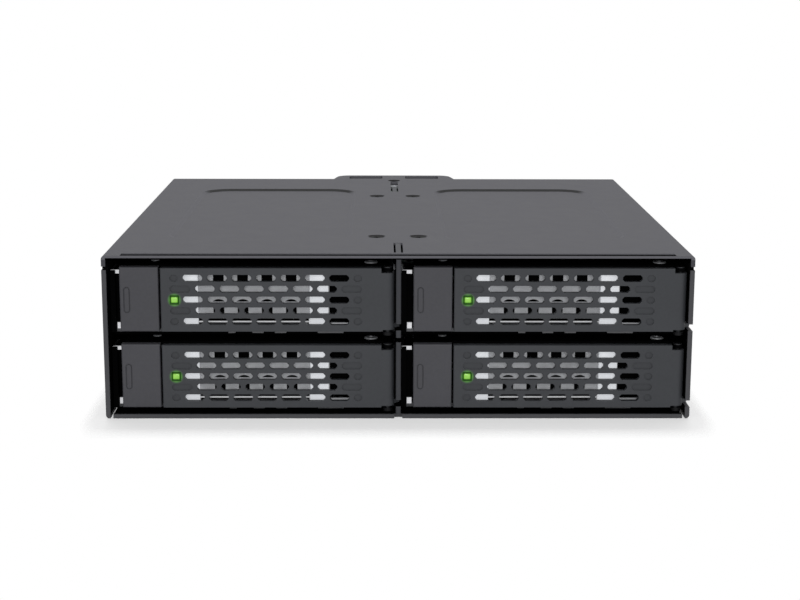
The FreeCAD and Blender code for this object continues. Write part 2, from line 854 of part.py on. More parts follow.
def fan_bracket():
    """The upright plate that carries the fan, with a foot and a top lip."""
    side = half_fan + bracket_side
    y = (bracket_front, bracket_front + bracket_thick)
    top = cover_under - sheet_gap
    plate = block((-side, side), y, (floor_thick, top))
    plate = plate.makeFillet(bracket_corner, edges_along(plate, "y"))
    foot = block((-bracket_foot_width / 2, bracket_foot_width / 2),
                 (bracket_front - bracket_foot_length, y[1]),
                 (floor_thick, floor_thick + bracket_thick))
    lip = block((-bracket_head_width / 2, bracket_head_width / 2),
                (bracket_front - bracket_foot_length, y[1]), (top - bracket_thick, top))
    cuts = [rod_along_y(0, fan_middle, (y[0] - through, y[1] + through), fan_bore_radius)]
    cuts += [rod_along_y(x, z, (y[0] - through, y[1] + through), fan_screw_radius + fan_screw_fit)
             for x, z in fan_corners()]
    cuts += [rod(x, y, (floor_thick - through, floor_thick + bracket_thick + through),
                 screw_shank_radius + screw_fit) for x, y in bracket_screw_places()]
    cuts.append(rod(0, body_depth - rear_screw_inset, (top - through, top + through),
                    screw_shank_radius + screw_fit))
    return joined([plate, foot, lip]).cut(cuts)


def bracket_screw_places():
    """X and Y of the two screws in the foot of the fan bracket."""
    y = bracket_front - bracket_foot_length / 2
    return [(-bracket_screw_x, y), (bracket_screw_x, y)]


def bracket_screws():
    """Two screws that hold the bracket's foot to the floor."""
    screws = []
    top = floor_thick + bracket_thick
    for x, y in bracket_screw_places():
        shank = rod(x, y, (sheet_gap, top), screw_shank_radius)
        head = rod(x, y, (top, top + board_screw_head), screw_head_radius)
        screws.append(joined([shank, head]))
    return group(screws)


def fan_frame():
    """Square fan housing with a round duct, corner holes and a spider."""
    y = (fan_front, fan_back)
    body = block((-half_fan, half_fan), y, (fan_high - fan_size, fan_high))
    body = body.makeFillet(fan_corner, edges_along(body, "y"))
    bore = rod_along_y(0, fan_middle, (y[0] - through, y[1] + through), fan_bore_radius)
    holes = [rod_along_y(x, z, (y[0] - through, y[1] + through), fan_screw_radius + fan_screw_fit)
             for x, z in fan_corners()]
    hub = rod_along_y(0, fan_middle, (fan_back - fan_hub_thick, fan_back), fan_hub_radius)
    struts = []
    arm = block((-fan_strut_width / 2, fan_strut_width / 2), (fan_back - fan_hub_thick, fan_back),
                (fan_middle, fan_middle + fan_bore_radius + screw_fit))
    for number in range(fan_strut_count):
        strut = arm.copy()
        turn = 360 * (number + 0.5) / fan_strut_count
        strut.rotate(FreeCAD.Vector(0, 0, fan_middle), FreeCAD.Vector(0, 1, 0), turn)
        struts.append(strut)
    bearing = rod_along_y(0, fan_middle, (fan_back - fan_hub_thick - through, fan_back - fan_hub_skin),
                          shaft_radius + shaft_fit)
    return joined([body.cut([bore] + holes), hub] + struts).cut(bearing)


def fan_blade(front, back):
    """One twisted blade of the rotor, lofted from root to tip."""
    sections = []
    reach = fan_bore_radius - rotor_tip_gap
    depth = back - front
    middle = (front + back) / 2
    for radius in (rotor_hub_radius - screw_fit, (rotor_hub_radius + reach) / 2, reach):
        share = (radius - rotor_hub_radius) / (reach - rotor_hub_radius)
        turn = math.radians(rotor_blade_twist + share * rotor_blade_twist / 2)
        half_run = depth / 2 * math.tan(turn)
        half_thick = rotor_blade_thick / 2
        corners = [(-half_run - half_thick, front), (-half_run + half_thick, front),
                   (half_run + half_thick, back), (half_run - half_thick, back)]
        points = [FreeCAD.Vector(x, y, fan_middle + radius) for x, y in corners]
        sections.append(Part.makePolygon(points + points[:1]))
    return Part.makeLoft(sections, True), middle


def fan_rotor():
    """Hub cup with blades and a shaft stub that runs in the housing."""
    front = fan_front + rotor_end_gap
    back = fan_back - fan_hub_thick - rotor_end_gap
    hub = rod_along_y(0, fan_middle, (front, back), rotor_hub_radius)
    hollow = rod_along_y(0, fan_middle, (front + rotor_hub_wall, back + through),
                         rotor_hub_radius - rotor_hub_wall)
    shaft = rod_along_y(0, fan_middle, (front, back + rotor_end_gap + shaft_engagement),
                        shaft_radius)
    blade, middle = fan_blade(front + edge_round, back - edge_round)
    shell = rod_along_y(0, fan_middle, (front, back), fan_bore_radius - rotor_tip_gap)
    blade = blade.common(shell)
    blades = []
    for number in range(rotor_blades):
        copy = blade.copy()
        copy.rotate(FreeCAD.Vector(0, middle, fan_middle), FreeCAD.Vector(0, 1, 0),
                    360 * number / rotor_blades)
        blades.append(copy)
    rounded = hub.cut(hollow)
    return joined([rounded, shaft] + blades)


def fan_screws():
    """Four screws through the bracket into the corners of the fan."""
    screws = []
    for x, z in fan_corners():
        shank = rod_along_y(x, z, (bracket_front, fan_back - through), fan_screw_radius)
        head = rod_along_y(x, z, (bracket_front - fan_screw_head, bracket_front),
                           fan_screw_head_radius)
        screws.append(joined([shank, head]))
    return group(screws)


# ---- tray, in the frame of its bay ----
def pan_windows():
    """Air windows in the pan, in rows and columns."""
    step = (pan_end - pan_window_rear_inset - pan_window_first) / pan_window_rows
    cuts = []
    for column in range(pan_window_columns):
        x = bay_width / 2 + (column - (pan_window_columns - 1) / 2) * pan_window_pitch_x
        for row in range(pan_window_rows):
            start = pan_window_first + row * step
            cuts.append(rounded_block((x - pan_window_width / 2, x + pan_window_width / 2),
                                      (start, start + step - pan_window_bridge),
                                      (-through, pan_thick + through), pan_window_corner))
    return cuts


def drive_holes():
    """Countersunk holes for the four screws under a drive."""
    middle = bay_width / 2
    reach = bay_width / 2 - pan_side_gap - pan_wall_thick - drive_fit - drive_hole_side
    cuts = []
    for y in (drive_start + drive_hole_from_front, drive_end - drive_hole_from_plug):
        for x in (middle - reach, middle + reach):
            cuts.append(rod(x, y, (-through, pan_thick + through), drive_hole_radius))
            cuts.append(Part.makeCone(drive_sink_radius, drive_hole_radius, pan_thick / 2,
                                      FreeCAD.Vector(x, y, 0)))
    return cuts


def pan():
    """Steel pan: floor, low walls, hinge ear, side ears and front tabs."""
    floor = block((pan_left, pan_right), (pan_start, pan_end), (0, pan_thick))
    side_y = (frame_start, pan_end)
    walls = []
    for x in ((pan_left, pan_left + pan_wall_thick), (pan_right - pan_wall_thick, pan_right)):
        walls.append(block(x, side_y, (pan_thick, pan_wall_height)))
        walls.append(block(x, (frame_start, frame_end), (pan_thick, ear_height)))
    lug_end = pan_left + pan_wall_thick + lug_reach
    lug_y = (lug_start, lug_start + lug_thick)
    high = (ear_height - lug_top_height, ear_height)
    walls.append(block((pan_left, lug_end), lug_y, high))
    walls.append(block((pan_left, pan_left + pan_wall_thick), (lug_start, frame_start), high))
    walls.append(block((lug_end - lug_foot_width, lug_end), lug_y, (0, lug_foot_height)))
    ear = rod(pin_x, pin_y, (0, pan_thick), ear_radius)
    neck = block((pin_x - ear_radius, pin_x + ear_radius), (pin_y, pan_start), (0, pan_thick))
    tabs = []
    for start, width in zip(lip_tab_starts, lip_tab_widths):
        x = bezel_left + start
        tabs.append(block((x, x + width), (pan_start - lip_tab_reach, pan_start), (0, pan_thick)))
    hole = rod(pin_x, pin_y, (-through, pan_thick + through), pin_radius)
    return joined([floor, ear, neck] + walls + tabs).cut(pan_windows() + drive_holes() + [hole])


def frame_posts():
    """Left and right posts of the front frame, open where the latch swings."""
    low = pan_thick
    high = frame_top - frame_top_thick
    right = block((frame_right - post_block_width, frame_right), (frame_start, frame_end), (low, high))
    left = block((pan_left + pan_wall_thick + frame_side_gap, bezel_left + seam_width),
                 (frame_start, frame_end), (low, high))
    fin_end = pan_left + pan_wall_thick + lug_reach - lug_foot_width - fin_gap
    fin_back = lug_start - fin_gap
    fin = block((pan_left, fin_end), (fin_back - fin_thick, fin_back), (0, ear_height))
    web = block((pan_left + pan_wall_thick + frame_side_gap, fin_end), (fin_back, frame_start),
                (low, ear_height - lug_top_height - fin_gap))
    stay_x = bezel_left + shield_left
    stay = block((stay_x, stay_x + stay_width), (frame_start, frame_end), (low, high))
    return [left, fin, web, stay, right]


def front_frame():
    """Moulded front frame: top plate with hinge ear, three posts."""
    top = (frame_top - frame_top_thick, frame_top)
    plate = block((frame_left, frame_right), (frame_top_start, frame_end), top)
    ear_z = (ear_low, frame_top)
    ear = rod(pin_x, pin_y, ear_z, ear_radius)
    neck = block((pin_x - ear_radius, pin_x + ear_radius), (pin_y, frame_top_start), ear_z)
    body = joined([plate, ear, neck] + frame_posts())
    cuts = [rod(pin_x, pin_y, (ear_low - through, frame_top + through), pin_radius),
            rod(rivet_x, rivet_y, (top[0] - through, frame_top + through), rivet_hole_radius + screw_fit),
            rod(latch_x, latch_y, (top[0] - through, frame_top + through), latch_post_radius)]
    return body.cut(cuts)


def frame_rivet():
    """The ring rivet on top of the right post."""
    ring = rod(rivet_x, rivet_y, (frame_top, frame_top + rivet_rise), rivet_radius)
    rim = [edge for edge in ring.Edges
           if isinstance(edge.Curve, Part.Circle) and edge.Curve.Center.z > frame_top + sheet_gap]
    ring = ring.makeChamfer(rivet_rise / 2, rim)
    shank = rod(rivet_x, rivet_y, (frame_top - frame_top_thick, frame_top), rivet_hole_radius)
    bore = rod(rivet_x, rivet_y, (frame_top - rivet_rise, frame_top + through), rivet_hollow_radius)
    return joined([ring, shank]).cut(bore)


def latch_post():
    """The upright pin that the latch swings on, riveted at the top."""
    shank = rod(latch_x, latch_y, (pan_thick, frame_top), latch_post_radius)
    head = rod(latch_x, latch_y, (frame_top, frame_top + pin_head), pin_head_radius)
    return joined([shank, head])


def hinge_pin():
    """The upright pin of the lever, from the pan's ear to the frame's ear."""
    shank = rod(pin_x, pin_y, (0, frame_top), pin_radius)
    head = rod(pin_x, pin_y, (frame_top, frame_top + pin_head), pin_head_radius)
    return joined([shank, head])


def slot_rows():
    """Centres of the through slots: X and Z, row by row from the top."""
    places = []
    for row in range(row_count):
        z = bezel_middle + (row_count // 2 - row) * row_pitch
        short = row % 2
        first = bezel_left + first_slot_centre + short * slot_pitch / 2
        places += [(first + number * slot_pitch, z) for number in range(slots_in_long_row - short)]
    return places


def blind_slots():
    """Shallow slots that carry the pattern on to both ends of the rows."""
    cuts = []
    y = (bezel_setback - through, bezel_setback + blind_depth)
    for row in range(row_count):
        z = bezel_middle + (row_count // 2 - row) * row_pitch
        short = row % 2
        first = bezel_left + first_slot_centre + short * slot_pitch / 2
        last = first + (slots_in_long_row - short - 1) * slot_pitch
        gap = slot_pitch - slot_length / 2
        spans = [(bezel_left + blind_left, first - gap), (last + gap, bezel_right - blind_right_inset)]
        if row == row_count // 2:
            spans = spans[1:]
        for low, high in spans:
            cuts.append(cropped_slot((low + high) / 2, z, y, high - low, slot_height, slot_crop))
    return cuts


def lens_block(y, growth):
    """The rounded square of the light, grown by a fit."""
    half = lens_size / 2 + growth
    x = bezel_left + lens_centre
    solid = block((x - half, x + half), y, (bezel_middle - half, bezel_middle + half))
    return solid.makeFillet(edge_round, edges_along(solid, "y"))


def lever():
    """Ventilated lever: a rimmed plate, hinge barrel, cam and catch nose."""
    outline = block((lever_left, pin_x), (bezel_setback, bezel_back), (bezel_foot, bezel_top))
    outline = outline.makeFillet(edge_round, [edge for edge in outline.Edges
                                              if edge.BoundBox.YMax < bezel_setback + edge_round
                                              and edge.BoundBox.XMax < pin_x - edge_round])
    pocket = block((lever_left + rim_width, pin_x - barrel_radius - rim_width),
                   (bezel_setback + plate_thick, bezel_back + through),
                   (bezel_foot + rim_width, bezel_top - rim_width))
    barrel = rod(pin_x, pin_y, (bezel_foot, bezel_top), barrel_radius)
    notch_x = (pin_x - ear_radius - knuckle_gap, bezel_right + through)
    notch_y = (bezel_setback - through, bezel_back + through)
    notches = [block(notch_x, notch_y, (bezel_foot - through, knuckle_low)),
               block(notch_x, notch_y, (knuckle_high, bezel_top + through))]
    tip_x = pin_x + cam_reach_x
    tip_y = pin_y + cam_reach_y
    cam = prism([(pin_x - cam_width / 2, pin_y), (pin_x + cam_width / 2, pin_y - cam_width / 2),
                 (tip_x, tip_y - cam_width / 2), (tip_x, tip_y), (tip_x - cam_width / 2, tip_y)],
                cam_low, cam_high)
    nose = block((lever_left, lever_left + nose_width), (bezel_back - edge_round, bezel_back + nose_reach),
                 (bezel_middle - slot_pitch / 2, bezel_middle + slot_pitch / 2))
    slots = [cropped_slot(x, z, (bezel_setback - through, bezel_back + through),
                          slot_length, slot_height, slot_crop) for x, z in slot_rows()]
    seat = lens_block((bezel_setback - through, bezel_back + through), lens_fit)
    bore = rod(pin_x, pin_y, (bezel_foot - through, bezel_top + through), pin_radius + pin_fit)
    body = outline.cut(pocket).fuse(barrel).cut(notches)
    body = joined([body, cam, nose])
    return body.cut(slots + blind_slots() + [seat, bore])


def lens():
    """The green light in the lever."""
    return lens_block((bezel_setback - lens_proud, bezel_setback + plate_thick), 0)


def pill_groove(x, z):
    """A ring-shaped groove in the outline of an upright pill."""
    y = (bezel_setback - through, bezel_setback + pill_depth)
    outer = pill(x, z, y, pill_width, pill_height)
    inner = pill(x, z, y, pill_width - 2 * pill_line, pill_height - 2 * pill_line)
    return outer.cut(inner)


def pill(x, z, y, width, height):
    """An upright pill shape drawn along Y."""
    radius = width / 2
    straight = height / 2 - radius
    ends = [rod_along_y(x, z + side * straight, y, radius) for side in (-1, 1)]
    return joined([block((x - radius, x + radius), y, (z - straight, z + straight))] + ends)


def latch():
    """Latch plate with an arm back to its pivot and a catch for the lever."""
    plate = block((bezel_left, latch_right), (bezel_setback, bezel_back),
                  (bezel_foot, bezel_top + latch_plate_rise))
    plate = plate.makeFillet(edge_round, [edge for edge in plate.Edges
                                          if edge.BoundBox.YMax < bezel_setback + edge_round])
    arm_z = (bezel_middle - latch_arm_height / 2, bezel_middle + latch_arm_height / 2)
    arm = block((latch_x - latch_arm_width / 2, latch_x + latch_arm_width / 2),
                (bezel_back - edge_round, latch_y), arm_z)
    boss = rod(latch_x, latch_y, (latch_boss_low, latch_boss_low + latch_boss_height),
               latch_boss_radius)
    catch_y = bezel_back + nose_reach + ear_gap
    catch = block((latch_x, latch_right), (catch_y, catch_y + latch_catch_depth), arm_z)
    web = prism([(latch_x, bezel_back - edge_round), (latch_right - rim_width, bezel_back - edge_round),
                 (latch_x, bezel_back + latch_catch_reach)], arm_z[0], arm_z[1])
    bore = rod(latch_x, latch_y, (0, frame_top), latch_post_radius + latch_post_fit)
    groove = pill_groove(bezel_left + pill_centre, bezel_middle)
    return joined([plate, arm, boss, catch, web]).cut([bore, groove])


def shield():
    """Bright steel sheet behind the vents, pierced to let air through."""
    x = (bezel_left + shield_left, bezel_right - shield_right_inset)
    y = (shield_start, shield_start + shield_thick)
    z = (bezel_foot + shield_foot, bezel_top - shield_head_gap - frame_top_thick)
    sheet = block(x, y, z)
    left = bezel_left + strip_left_start
    right = bezel_right - strip_right_inset
    strips = [block((left, left + strip_left_width), (y[0] - strip_rise, y[0]), z),
              block((right, right + strip_right_width), (y[0] - strip_rise, y[0]), z)]
    foot_z = (z[0], z[0] + shield_thick)
    foot_end = bezel_right - shield_foot_inset
    feet = [block((x[0], x[0] + stay_width), (y[0], frame_start), foot_z),
            block((foot_end - stay_width, foot_end), (y[0], frame_start), foot_z),
            block((x[1], foot_end), y, foot_z)]
    cut_y = (y[0] - through, y[1] + through)
    middle_x = (left + strip_left_width, right)
    sill = z[0] + shield_sill
    bar = sill + shield_sill_bar
    cuts = [block(middle_x, cut_y, (z[0] - through, sill)),
            block(middle_x, cut_y, (bar, bar + shield_sill_gap))]
    for number in range(1, slots_in_long_row - 2):
        centre = bezel_left + first_slot_centre + number * slot_pitch
        cuts += shield_holes(centre, cut_y)
        cuts.append(shield_moon(centre, cut_y))
    return joined([sheet] + strips + feet).cut(cuts)


def shield_holes(centre, y):
    """The rectangular holes of one column: behind the first row and the fourth."""
    half = shield_hole_width / 2
    holes = []
    for row in (row_count // 2, -(row_count // 2 - 1)):
        z = bezel_middle + row * row_pitch - shield_drop
        holes.append(block((centre - half, centre + half), y,
                           (z - shield_hole_height / 2, z + shield_hole_height / 2)))
    return holes


def shield_moon(centre, y):
    """A low arch behind the middle row."""
    radius = (moon_width ** 2 / 4 + moon_height ** 2) / (2 * moon_height)
    sill = bezel_middle - shield_drop - moon_height / 2
    disc = rod_along_y(centre, sill + moon_height - radius, y, radius)
    above = block((centre - moon_width, centre + moon_width), y, (sill, sill + moon_height + through))
    return disc.common(above)


# ---- export ----
def save(name, shape, x=0.0, z=0.0):
    """Write one part, moved to its bay and to the middle of the cage."""
    moved = shape.copy()
    moved.translate(FreeCAD.Vector(x, front_y, z))
    moved.exportStep("parts/" + name + ".step")


os.makedirs("parts", exist_ok=True)

cage_parts = {
    "chassis": chassis, "top_cover": cover, "divider": divider, "shelf": shelf,
    "cover_screws": cover_screws,
    "backplane_board": board, "board_screws": board_screws,
    "fan_bracket": fan_bracket, "bracket_screws": bracket_screws,
    "fan_frame": fan_frame, "fan_rotor": fan_rotor, "fan_screws": fan_screws,
    "switch_body": switch_body, "switch_knob": switch_knob,
}
for name, make in cage_parts.items():
    save(name, make())

save("power_port_left", power_port(-1))
save("power_port_right", power_port(1))

tray_parts = {
    "pan": pan(), "front_frame": front_frame(), "shield": shield(), "lever": lever(),
    "lens": lens(), "hinge_pin": hinge_pin(), "latch": latch(), "latch_post": latch_post(),
    "frame_rivet": frame_rivet(),
}
socket = drive_socket()
for number, (left, foot) in enumerate(bays, start=1):
    for name, shape in tray_parts.items():
        save("tray_%d_%s" % (number, name), shape, left, foot)
    save("drive_socket_%d" % number, socket, left, foot)
    save("data_port_%d" % number, data_port(math.copysign(1, left), foot))
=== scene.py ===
import json
import math
import bmesh
import bpy
from mathutils import Euler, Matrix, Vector


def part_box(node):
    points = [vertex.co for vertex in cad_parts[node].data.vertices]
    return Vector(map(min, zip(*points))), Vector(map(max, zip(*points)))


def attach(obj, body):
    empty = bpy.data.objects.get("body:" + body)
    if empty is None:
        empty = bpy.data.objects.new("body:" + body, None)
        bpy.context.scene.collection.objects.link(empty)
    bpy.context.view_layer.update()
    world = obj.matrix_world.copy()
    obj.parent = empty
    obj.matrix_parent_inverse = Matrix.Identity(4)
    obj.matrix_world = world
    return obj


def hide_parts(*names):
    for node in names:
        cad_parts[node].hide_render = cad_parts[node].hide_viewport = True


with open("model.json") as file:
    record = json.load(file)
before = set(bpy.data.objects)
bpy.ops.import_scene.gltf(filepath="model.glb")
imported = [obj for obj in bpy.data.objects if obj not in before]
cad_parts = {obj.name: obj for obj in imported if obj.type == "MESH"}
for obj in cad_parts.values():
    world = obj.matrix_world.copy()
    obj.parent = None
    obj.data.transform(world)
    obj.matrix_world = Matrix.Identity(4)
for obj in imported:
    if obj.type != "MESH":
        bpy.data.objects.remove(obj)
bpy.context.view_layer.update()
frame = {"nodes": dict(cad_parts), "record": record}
mm = 0.001
trays = (1, 2, 3, 4)  # upper left, upper right, lower left, lower right
leanTo = {"Z": (0, 0, 0), "Y": (-math.pi / 2, 0, 0), "-Y": (math.pi / 2, 0, 0)}  # Z turned to an axis


def shade(red, green, blue):  # screen values to a shader colour
    level = []
    for part in (red, green, blue):
        part = part / 255
        level.append(part / 12.92 if part <= 0.04045 else ((part + 0.055) / 1.055) ** 2.4)
    return (*level, 1.0)


dustColour = shade(150, 148, 144)


# short ways to place shader nodes
def plug(tree, socket, value):
    if isinstance(value, bpy.types.NodeSocket):
        tree.links.new(value, socket)
    else:
        socket.default_value = value


def add(tree, kind, values=None, **settings):
    node = tree.nodes.new("ShaderNode" + kind)
    for key, value in settings.items():
        setattr(node, key, value)
    for key, value in (values or {}).items():
        plug(tree, node.inputs[key], value)
    return node


def maths(tree, operation, a, b=0.0, clamp=False):
    return add(tree, "Math", {0: a, 1: b}, operation=operation, use_clamp=clamp).outputs[0]


def noise(tree, place, scale, detail=3.0, rough=0.5):
    return add(tree, "TexNoise", {"Vector": place, "Scale": scale, "Detail": detail,
                                  "Roughness": rough}).outputs["Fac"]


def swing(tree, value, reach):  # noise round a half becomes plus or minus
    return maths(tree, "MULTIPLY", maths(tree, "SUBTRACT", value, 0.5), reach)


def spread(tree, value, low, high, newLow=0.0, newHigh=1.0):
    return add(tree, "MapRange", {"Value": value, "From Min": low, "From Max": high,
                                  "To Min": newLow, "To Max": newHigh}, clamp=True).outputs[0]


def blendColour(tree, amount, first, second):
    node = add(tree, "Mix", data_type="RGBA")
    plug(tree, node.inputs[0], amount)
    plug(tree, node.inputs[6], first)
    plug(tree, node.inputs[7], second)
    return node.outputs[2]


def startGroup(name, inputs, outputs):
    group = bpy.data.node_groups.new(name, "ShaderNodeTree")
    for label, kind, value in inputs:
        socket = group.interface.new_socket(label, in_out="INPUT", socket_type="NodeSocket" + kind)
        if value is not None:
            socket.default_value = value
    for label in outputs:
        kind = "NodeSocketVector" if label == "Normal" else "NodeSocketFloat"
        group.interface.new_socket(label, in_out="OUTPUT", socket_type=kind)
    return group, group.nodes.new("NodeGroupInput").outputs, group.nodes.new("NodeGroupOutput")


def finishGroup(group, result, values):
    for key, value in values.items():
        group.links.new(value, result.inputs[key])
    return group


# effects that several finishes share
# the edge band lightens worn edges and also serves as a painted highlight on rounded edges
def roundedEdges():
    group, given, result = startGroup(
        "roundedEdges", [("Radius", "Float", 0.0002), ("Worn And Lit Edge", "Float", 0.3)], ["Normal", "Edge"])
    bevel = add(group, "Bevel", {"Radius": given["Radius"]}, samples=6).outputs[0]
    flat = add(group, "NewGeometry").outputs["Normal"]
    turn = add(group, "VectorMath", {0: bevel, 1: flat}, operation="DOT_PRODUCT").outputs["Value"]
    bend = maths(group, "SUBTRACT", 1.0, turn, clamp=True)
    band = spread(group, bend, 0.01, 0.25)
    edge = maths(group, "MULTIPLY", band, given["Worn And Lit Edge"])
    return finishGroup(group, result, {"Normal": bevel, "Edge": edge})


def powderGrain():
    group, given, result = startGroup(
        "powderGrain", [("Place", "Vector", None), ("Grain", "Float", 2600.0), ("Mottle", "Float", 0.12)],
        ["Tone", "Gloss", "Height"])
    cells = add(group, "TexVoronoi", {"Vector": given["Place"], "Scale": given["Grain"]}, feature="SMOOTH_F1")
    fine = noise(group, given["Place"], 4200.0, 2.0)
    cloud = noise(group, given["Place"], 170.0, 5.0, 0.65)
    tone = maths(group, "ADD", swing(group, cloud, given["Mottle"]), swing(group, fine, 0.2))
    height = maths(group, "ADD", cells.outputs["Distance"], maths(group, "MULTIPLY", fine, 0.5))
    return finishGroup(group, result, {"Tone": tone, "Gloss": swing(group, cloud, 0.1), "Height": height})


def rollingLines():
    group, given, result = startGroup(
        "rollingLines", [("Place", "Vector", None), ("Stretch", "Vector", (1.0, 0.02, 1.0)),
                         ("Fineness", "Float", 5200.0)], ["Line", "Height"])
    along = add(group, "VectorMath", {0: given["Place"], 1: given["Stretch"]}, operation="MULTIPLY")
    lines = noise(group, along.outputs[0], given["Fineness"], 4.0, 0.6)
    broad = noise(group, given["Place"], 220.0, 3.0)
    line = maths(group, "ADD", swing(group, lines, 1.0), swing(group, broad, 0.6))
    return finishGroup(group, result, {"Line": line, "Height": lines})


def settledDust():
    group, given, result = startGroup(
        "settledDust", [("Place", "Vector", None), ("Amount", "Float", 0.1)], ["Dust"])
    normal = add(group, "NewGeometry").outputs["Normal"]
    facing = spread(group, add(group, "SeparateXYZ", {0: normal}).outputs["Z"], 0.3, 0.95)
    patches = spread(group, noise(group, given["Place"], 90.0, 5.0, 0.65), 0.35, 0.75, 0.0, 0.6)
    grit = spread(group, noise(group, given["Place"], 2100.0, 1.0), 0.66, 0.74, 0.0, 0.8)
    film = maths(group, "MULTIPLY", facing, maths(group, "ADD", patches, grit))
    return finishGroup(group, result, {"Dust": maths(group, "MULTIPLY", film, given["Amount"], clamp=True)})


def hairScratches():
    group, given, result = startGroup(
        "hairScratches", [("Place", "Vector", None), ("Amount", "Float", 0.3)], ["Scratch"])
    total = 0.0
    for factors, scale in (((1.0, 0.03, 1.0), 900.0), ((0.05, 1.0, 0.4), 760.0), ((0.6, 0.7, 0.05), 640.0)):
        turned = add(group, "Mapping", {"Vector": given["Place"], "Rotation": (0.0, 0.0, scale * 0.01)})
        along = add(group, "VectorMath", {0: turned.outputs[0], 1: factors}, operation="MULTIPLY").outputs[0]
        total = maths(group, "ADD", spread(group, noise(group, along, scale, 1.0), 0.73, 0.76), total)
    sparse = spread(group, noise(group, given["Place"], 38.0, 2.0), 0.5, 0.7)
    scratch = maths(group, "MULTIPLY", maths(group, "MULTIPLY", total, sparse), given["Amount"], clamp=True)
    return finishGroup(group, result, {"Scratch": scratch})


def sparkTexture():
    group, given, result = startGroup(
        "sparkTexture", [("Place", "Vector", None), ("Fineness", "Float", 3400.0)], ["Tone", "Height"])
    cells = add(group, "TexVoronoi", {"Vector": given["Place"], "Scale": given["Fineness"]})
    spark = cells.outputs["Distance"]
    soft = noise(group, given["Place"], 1500.0, 3.0)
    flow = noise(group, given["Place"], 75.0, 2.0)
    height = maths(group, "ADD", spark, maths(group, "MULTIPLY", soft, 0.6))
    tone = maths(group, "ADD", swing(group, soft, 0.22), swing(group, flow, 0.18))
    return finishGroup(group, result, {"Tone": tone, "Height": height})


def insideBox():
    group, given, result = startGroup(
        "insideBox", [("Place", "Vector", None), ("Low", "Vector", (0.0, 0.0, 0.0)),
                      ("High", "Vector", (0.0, 0.0, 0.0))], ["Inside"])
    place = add(group, "SeparateXYZ", {0: given["Place"]}).outputs
    low = add(group, "SeparateXYZ", {0: given["Low"]}).outputs
    high = add(group, "SeparateXYZ", {0: given["High"]}).outputs
    inside = 1.0
    for axis in "XYZ":
        inside = maths(group, "MULTIPLY", maths(group, "GREATER_THAN", place[axis], low[axis]), inside)
        inside = maths(group, "MULTIPLY", maths(group, "LESS_THAN", place[axis], high[axis]), inside)
    return finishGroup(group, result, {"Inside": inside})


effects = {"edges": roundedEdges(), "powder": powderGrain(), "rolling": rollingLines(), "dust": settledDust(),
           "scratch": hairScratches(), "spark": sparkTexture(), "inside": insideBox()}
print("shared effects ready:", len(effects))


def effect(tree, name, values):
    node = tree.nodes.new("ShaderNodeGroup")
    node.node_tree = effects[name]
    for key, value in values.items():
        plug(tree, node.inputs[key], value)
    return node.outputs


def startFinish(name):
    finish = bpy.data.materials.new(name)
    finish.use_nodes = True
    tree = finish.node_tree
    return finish, tree, tree.nodes["Principled BSDF"], add(tree, "TexCoord").outputs["Object"]


def toned(tree, colour, change):
    lift = maths(tree, "ADD", change, 1.0)
    return add(tree, "VectorMath", {0: colour[:3], "Scale": lift}, operation="SCALE").outputs[0]


def wire(tree, shader, values):
    for key, value in values.items():
        plug(tree, shader.inputs[key], value)


def bumped(tree, height, depth, strength, normal):
    return add(tree, "Bump", {"Height": height, "Distance": depth, "Strength": strength,
                              "Normal": normal}).outputs[0]


def powderCoat(name, look):
    finish, tree, shader, place = startFinish(name)
    grain = effect(tree, "powder", {"Place": place, "Grain": look["grain"], "Mottle": look["mottle"]})
    edges = effect(tree, "edges", {"Radius": look["edge"], "Worn And Lit Edge": look["wearAndHighlight"]})
    dust = effect(tree, "dust", {"Place": place, "Amount": look["dust"]})["Dust"]
    scratch = effect(tree, "scratch", {"Place": place, "Amount": look["scratch"]})["Scratch"]
    paint = toned(tree, look["colour"], grain["Tone"])
    # edges lightened for wear and as a painted highlight
    paint = blendColour(tree, edges["Edge"], paint, look["wornLitEdgeColour"])
    paint = blendColour(tree, scratch, paint, look["wornLitEdgeColour"])
    paint = blendColour(tree, dust, paint, dustColour)
    if "paintedLightLevel" in look:  # pressed slopes that face the front lie in shade, the others catch light
        turn = add(tree, "SeparateXYZ", {0: add(tree, "NewGeometry").outputs["True Normal"]}).outputs
        level = maths(tree, "GREATER_THAN", add(tree, "SeparateXYZ", {0: place}).outputs["Z"], look["paintedLightLevel"])
        ahead = maths(tree, "MULTIPLY", spread(tree, turn["Y"], -0.15, -0.3),
                      spread(tree, turn["Z"], 0.5, 0.6))
        aside = maths(tree, "MULTIPLY", spread(tree, maths(tree, "ABSOLUTE", turn["X"]), 0.1, 0.4), 0.16)
        # painted highlight: the cover's front face is lightened
        lip = maths(tree, "MULTIPLY", spread(tree, turn["Y"], -0.7, -0.9), 0.75)
        aside = maths(tree, "MULTIPLY", maths(tree, "MAXIMUM", aside, lip), level)
        paint = blendColour(tree, aside, paint, look["wornLitEdgeColour"])
        paint = blendColour(tree, maths(tree, "MULTIPLY", ahead, level), paint, look["paintedShadeColour"])
    dark = 0.0
    for low, high in look["shadeBoxes"]:  # painted shade: inside these boxes (the cage's hollow, gaps and seams) the coat is painted dead black and loses its gloss
        within = effect(tree, "inside", {"Place": place, "Low": low, "High": high})["Inside"]
        dark = maths(tree, "MAXIMUM", within, dark)
    paint = blendColour(tree, dark, paint, look["paintedShadeColour"])
    rough = maths(tree, "ADD", maths(tree, "ADD", grain["Gloss"], look["rough"]),
                  maths(tree, "MULTIPLY", dust, 0.3), clamp=True)
    gloss = maths(tree, "MULTIPLY", maths(tree, "SUBTRACT", 1.0, dark), look["gloss"])
    wire(tree, shader, {"Base Color": paint, "Roughness": rough, "Specular IOR Level": gloss,
                        "Normal": bumped(tree, grain["Height"], look["depth"], 0.5, edges["Normal"])})
    return finish


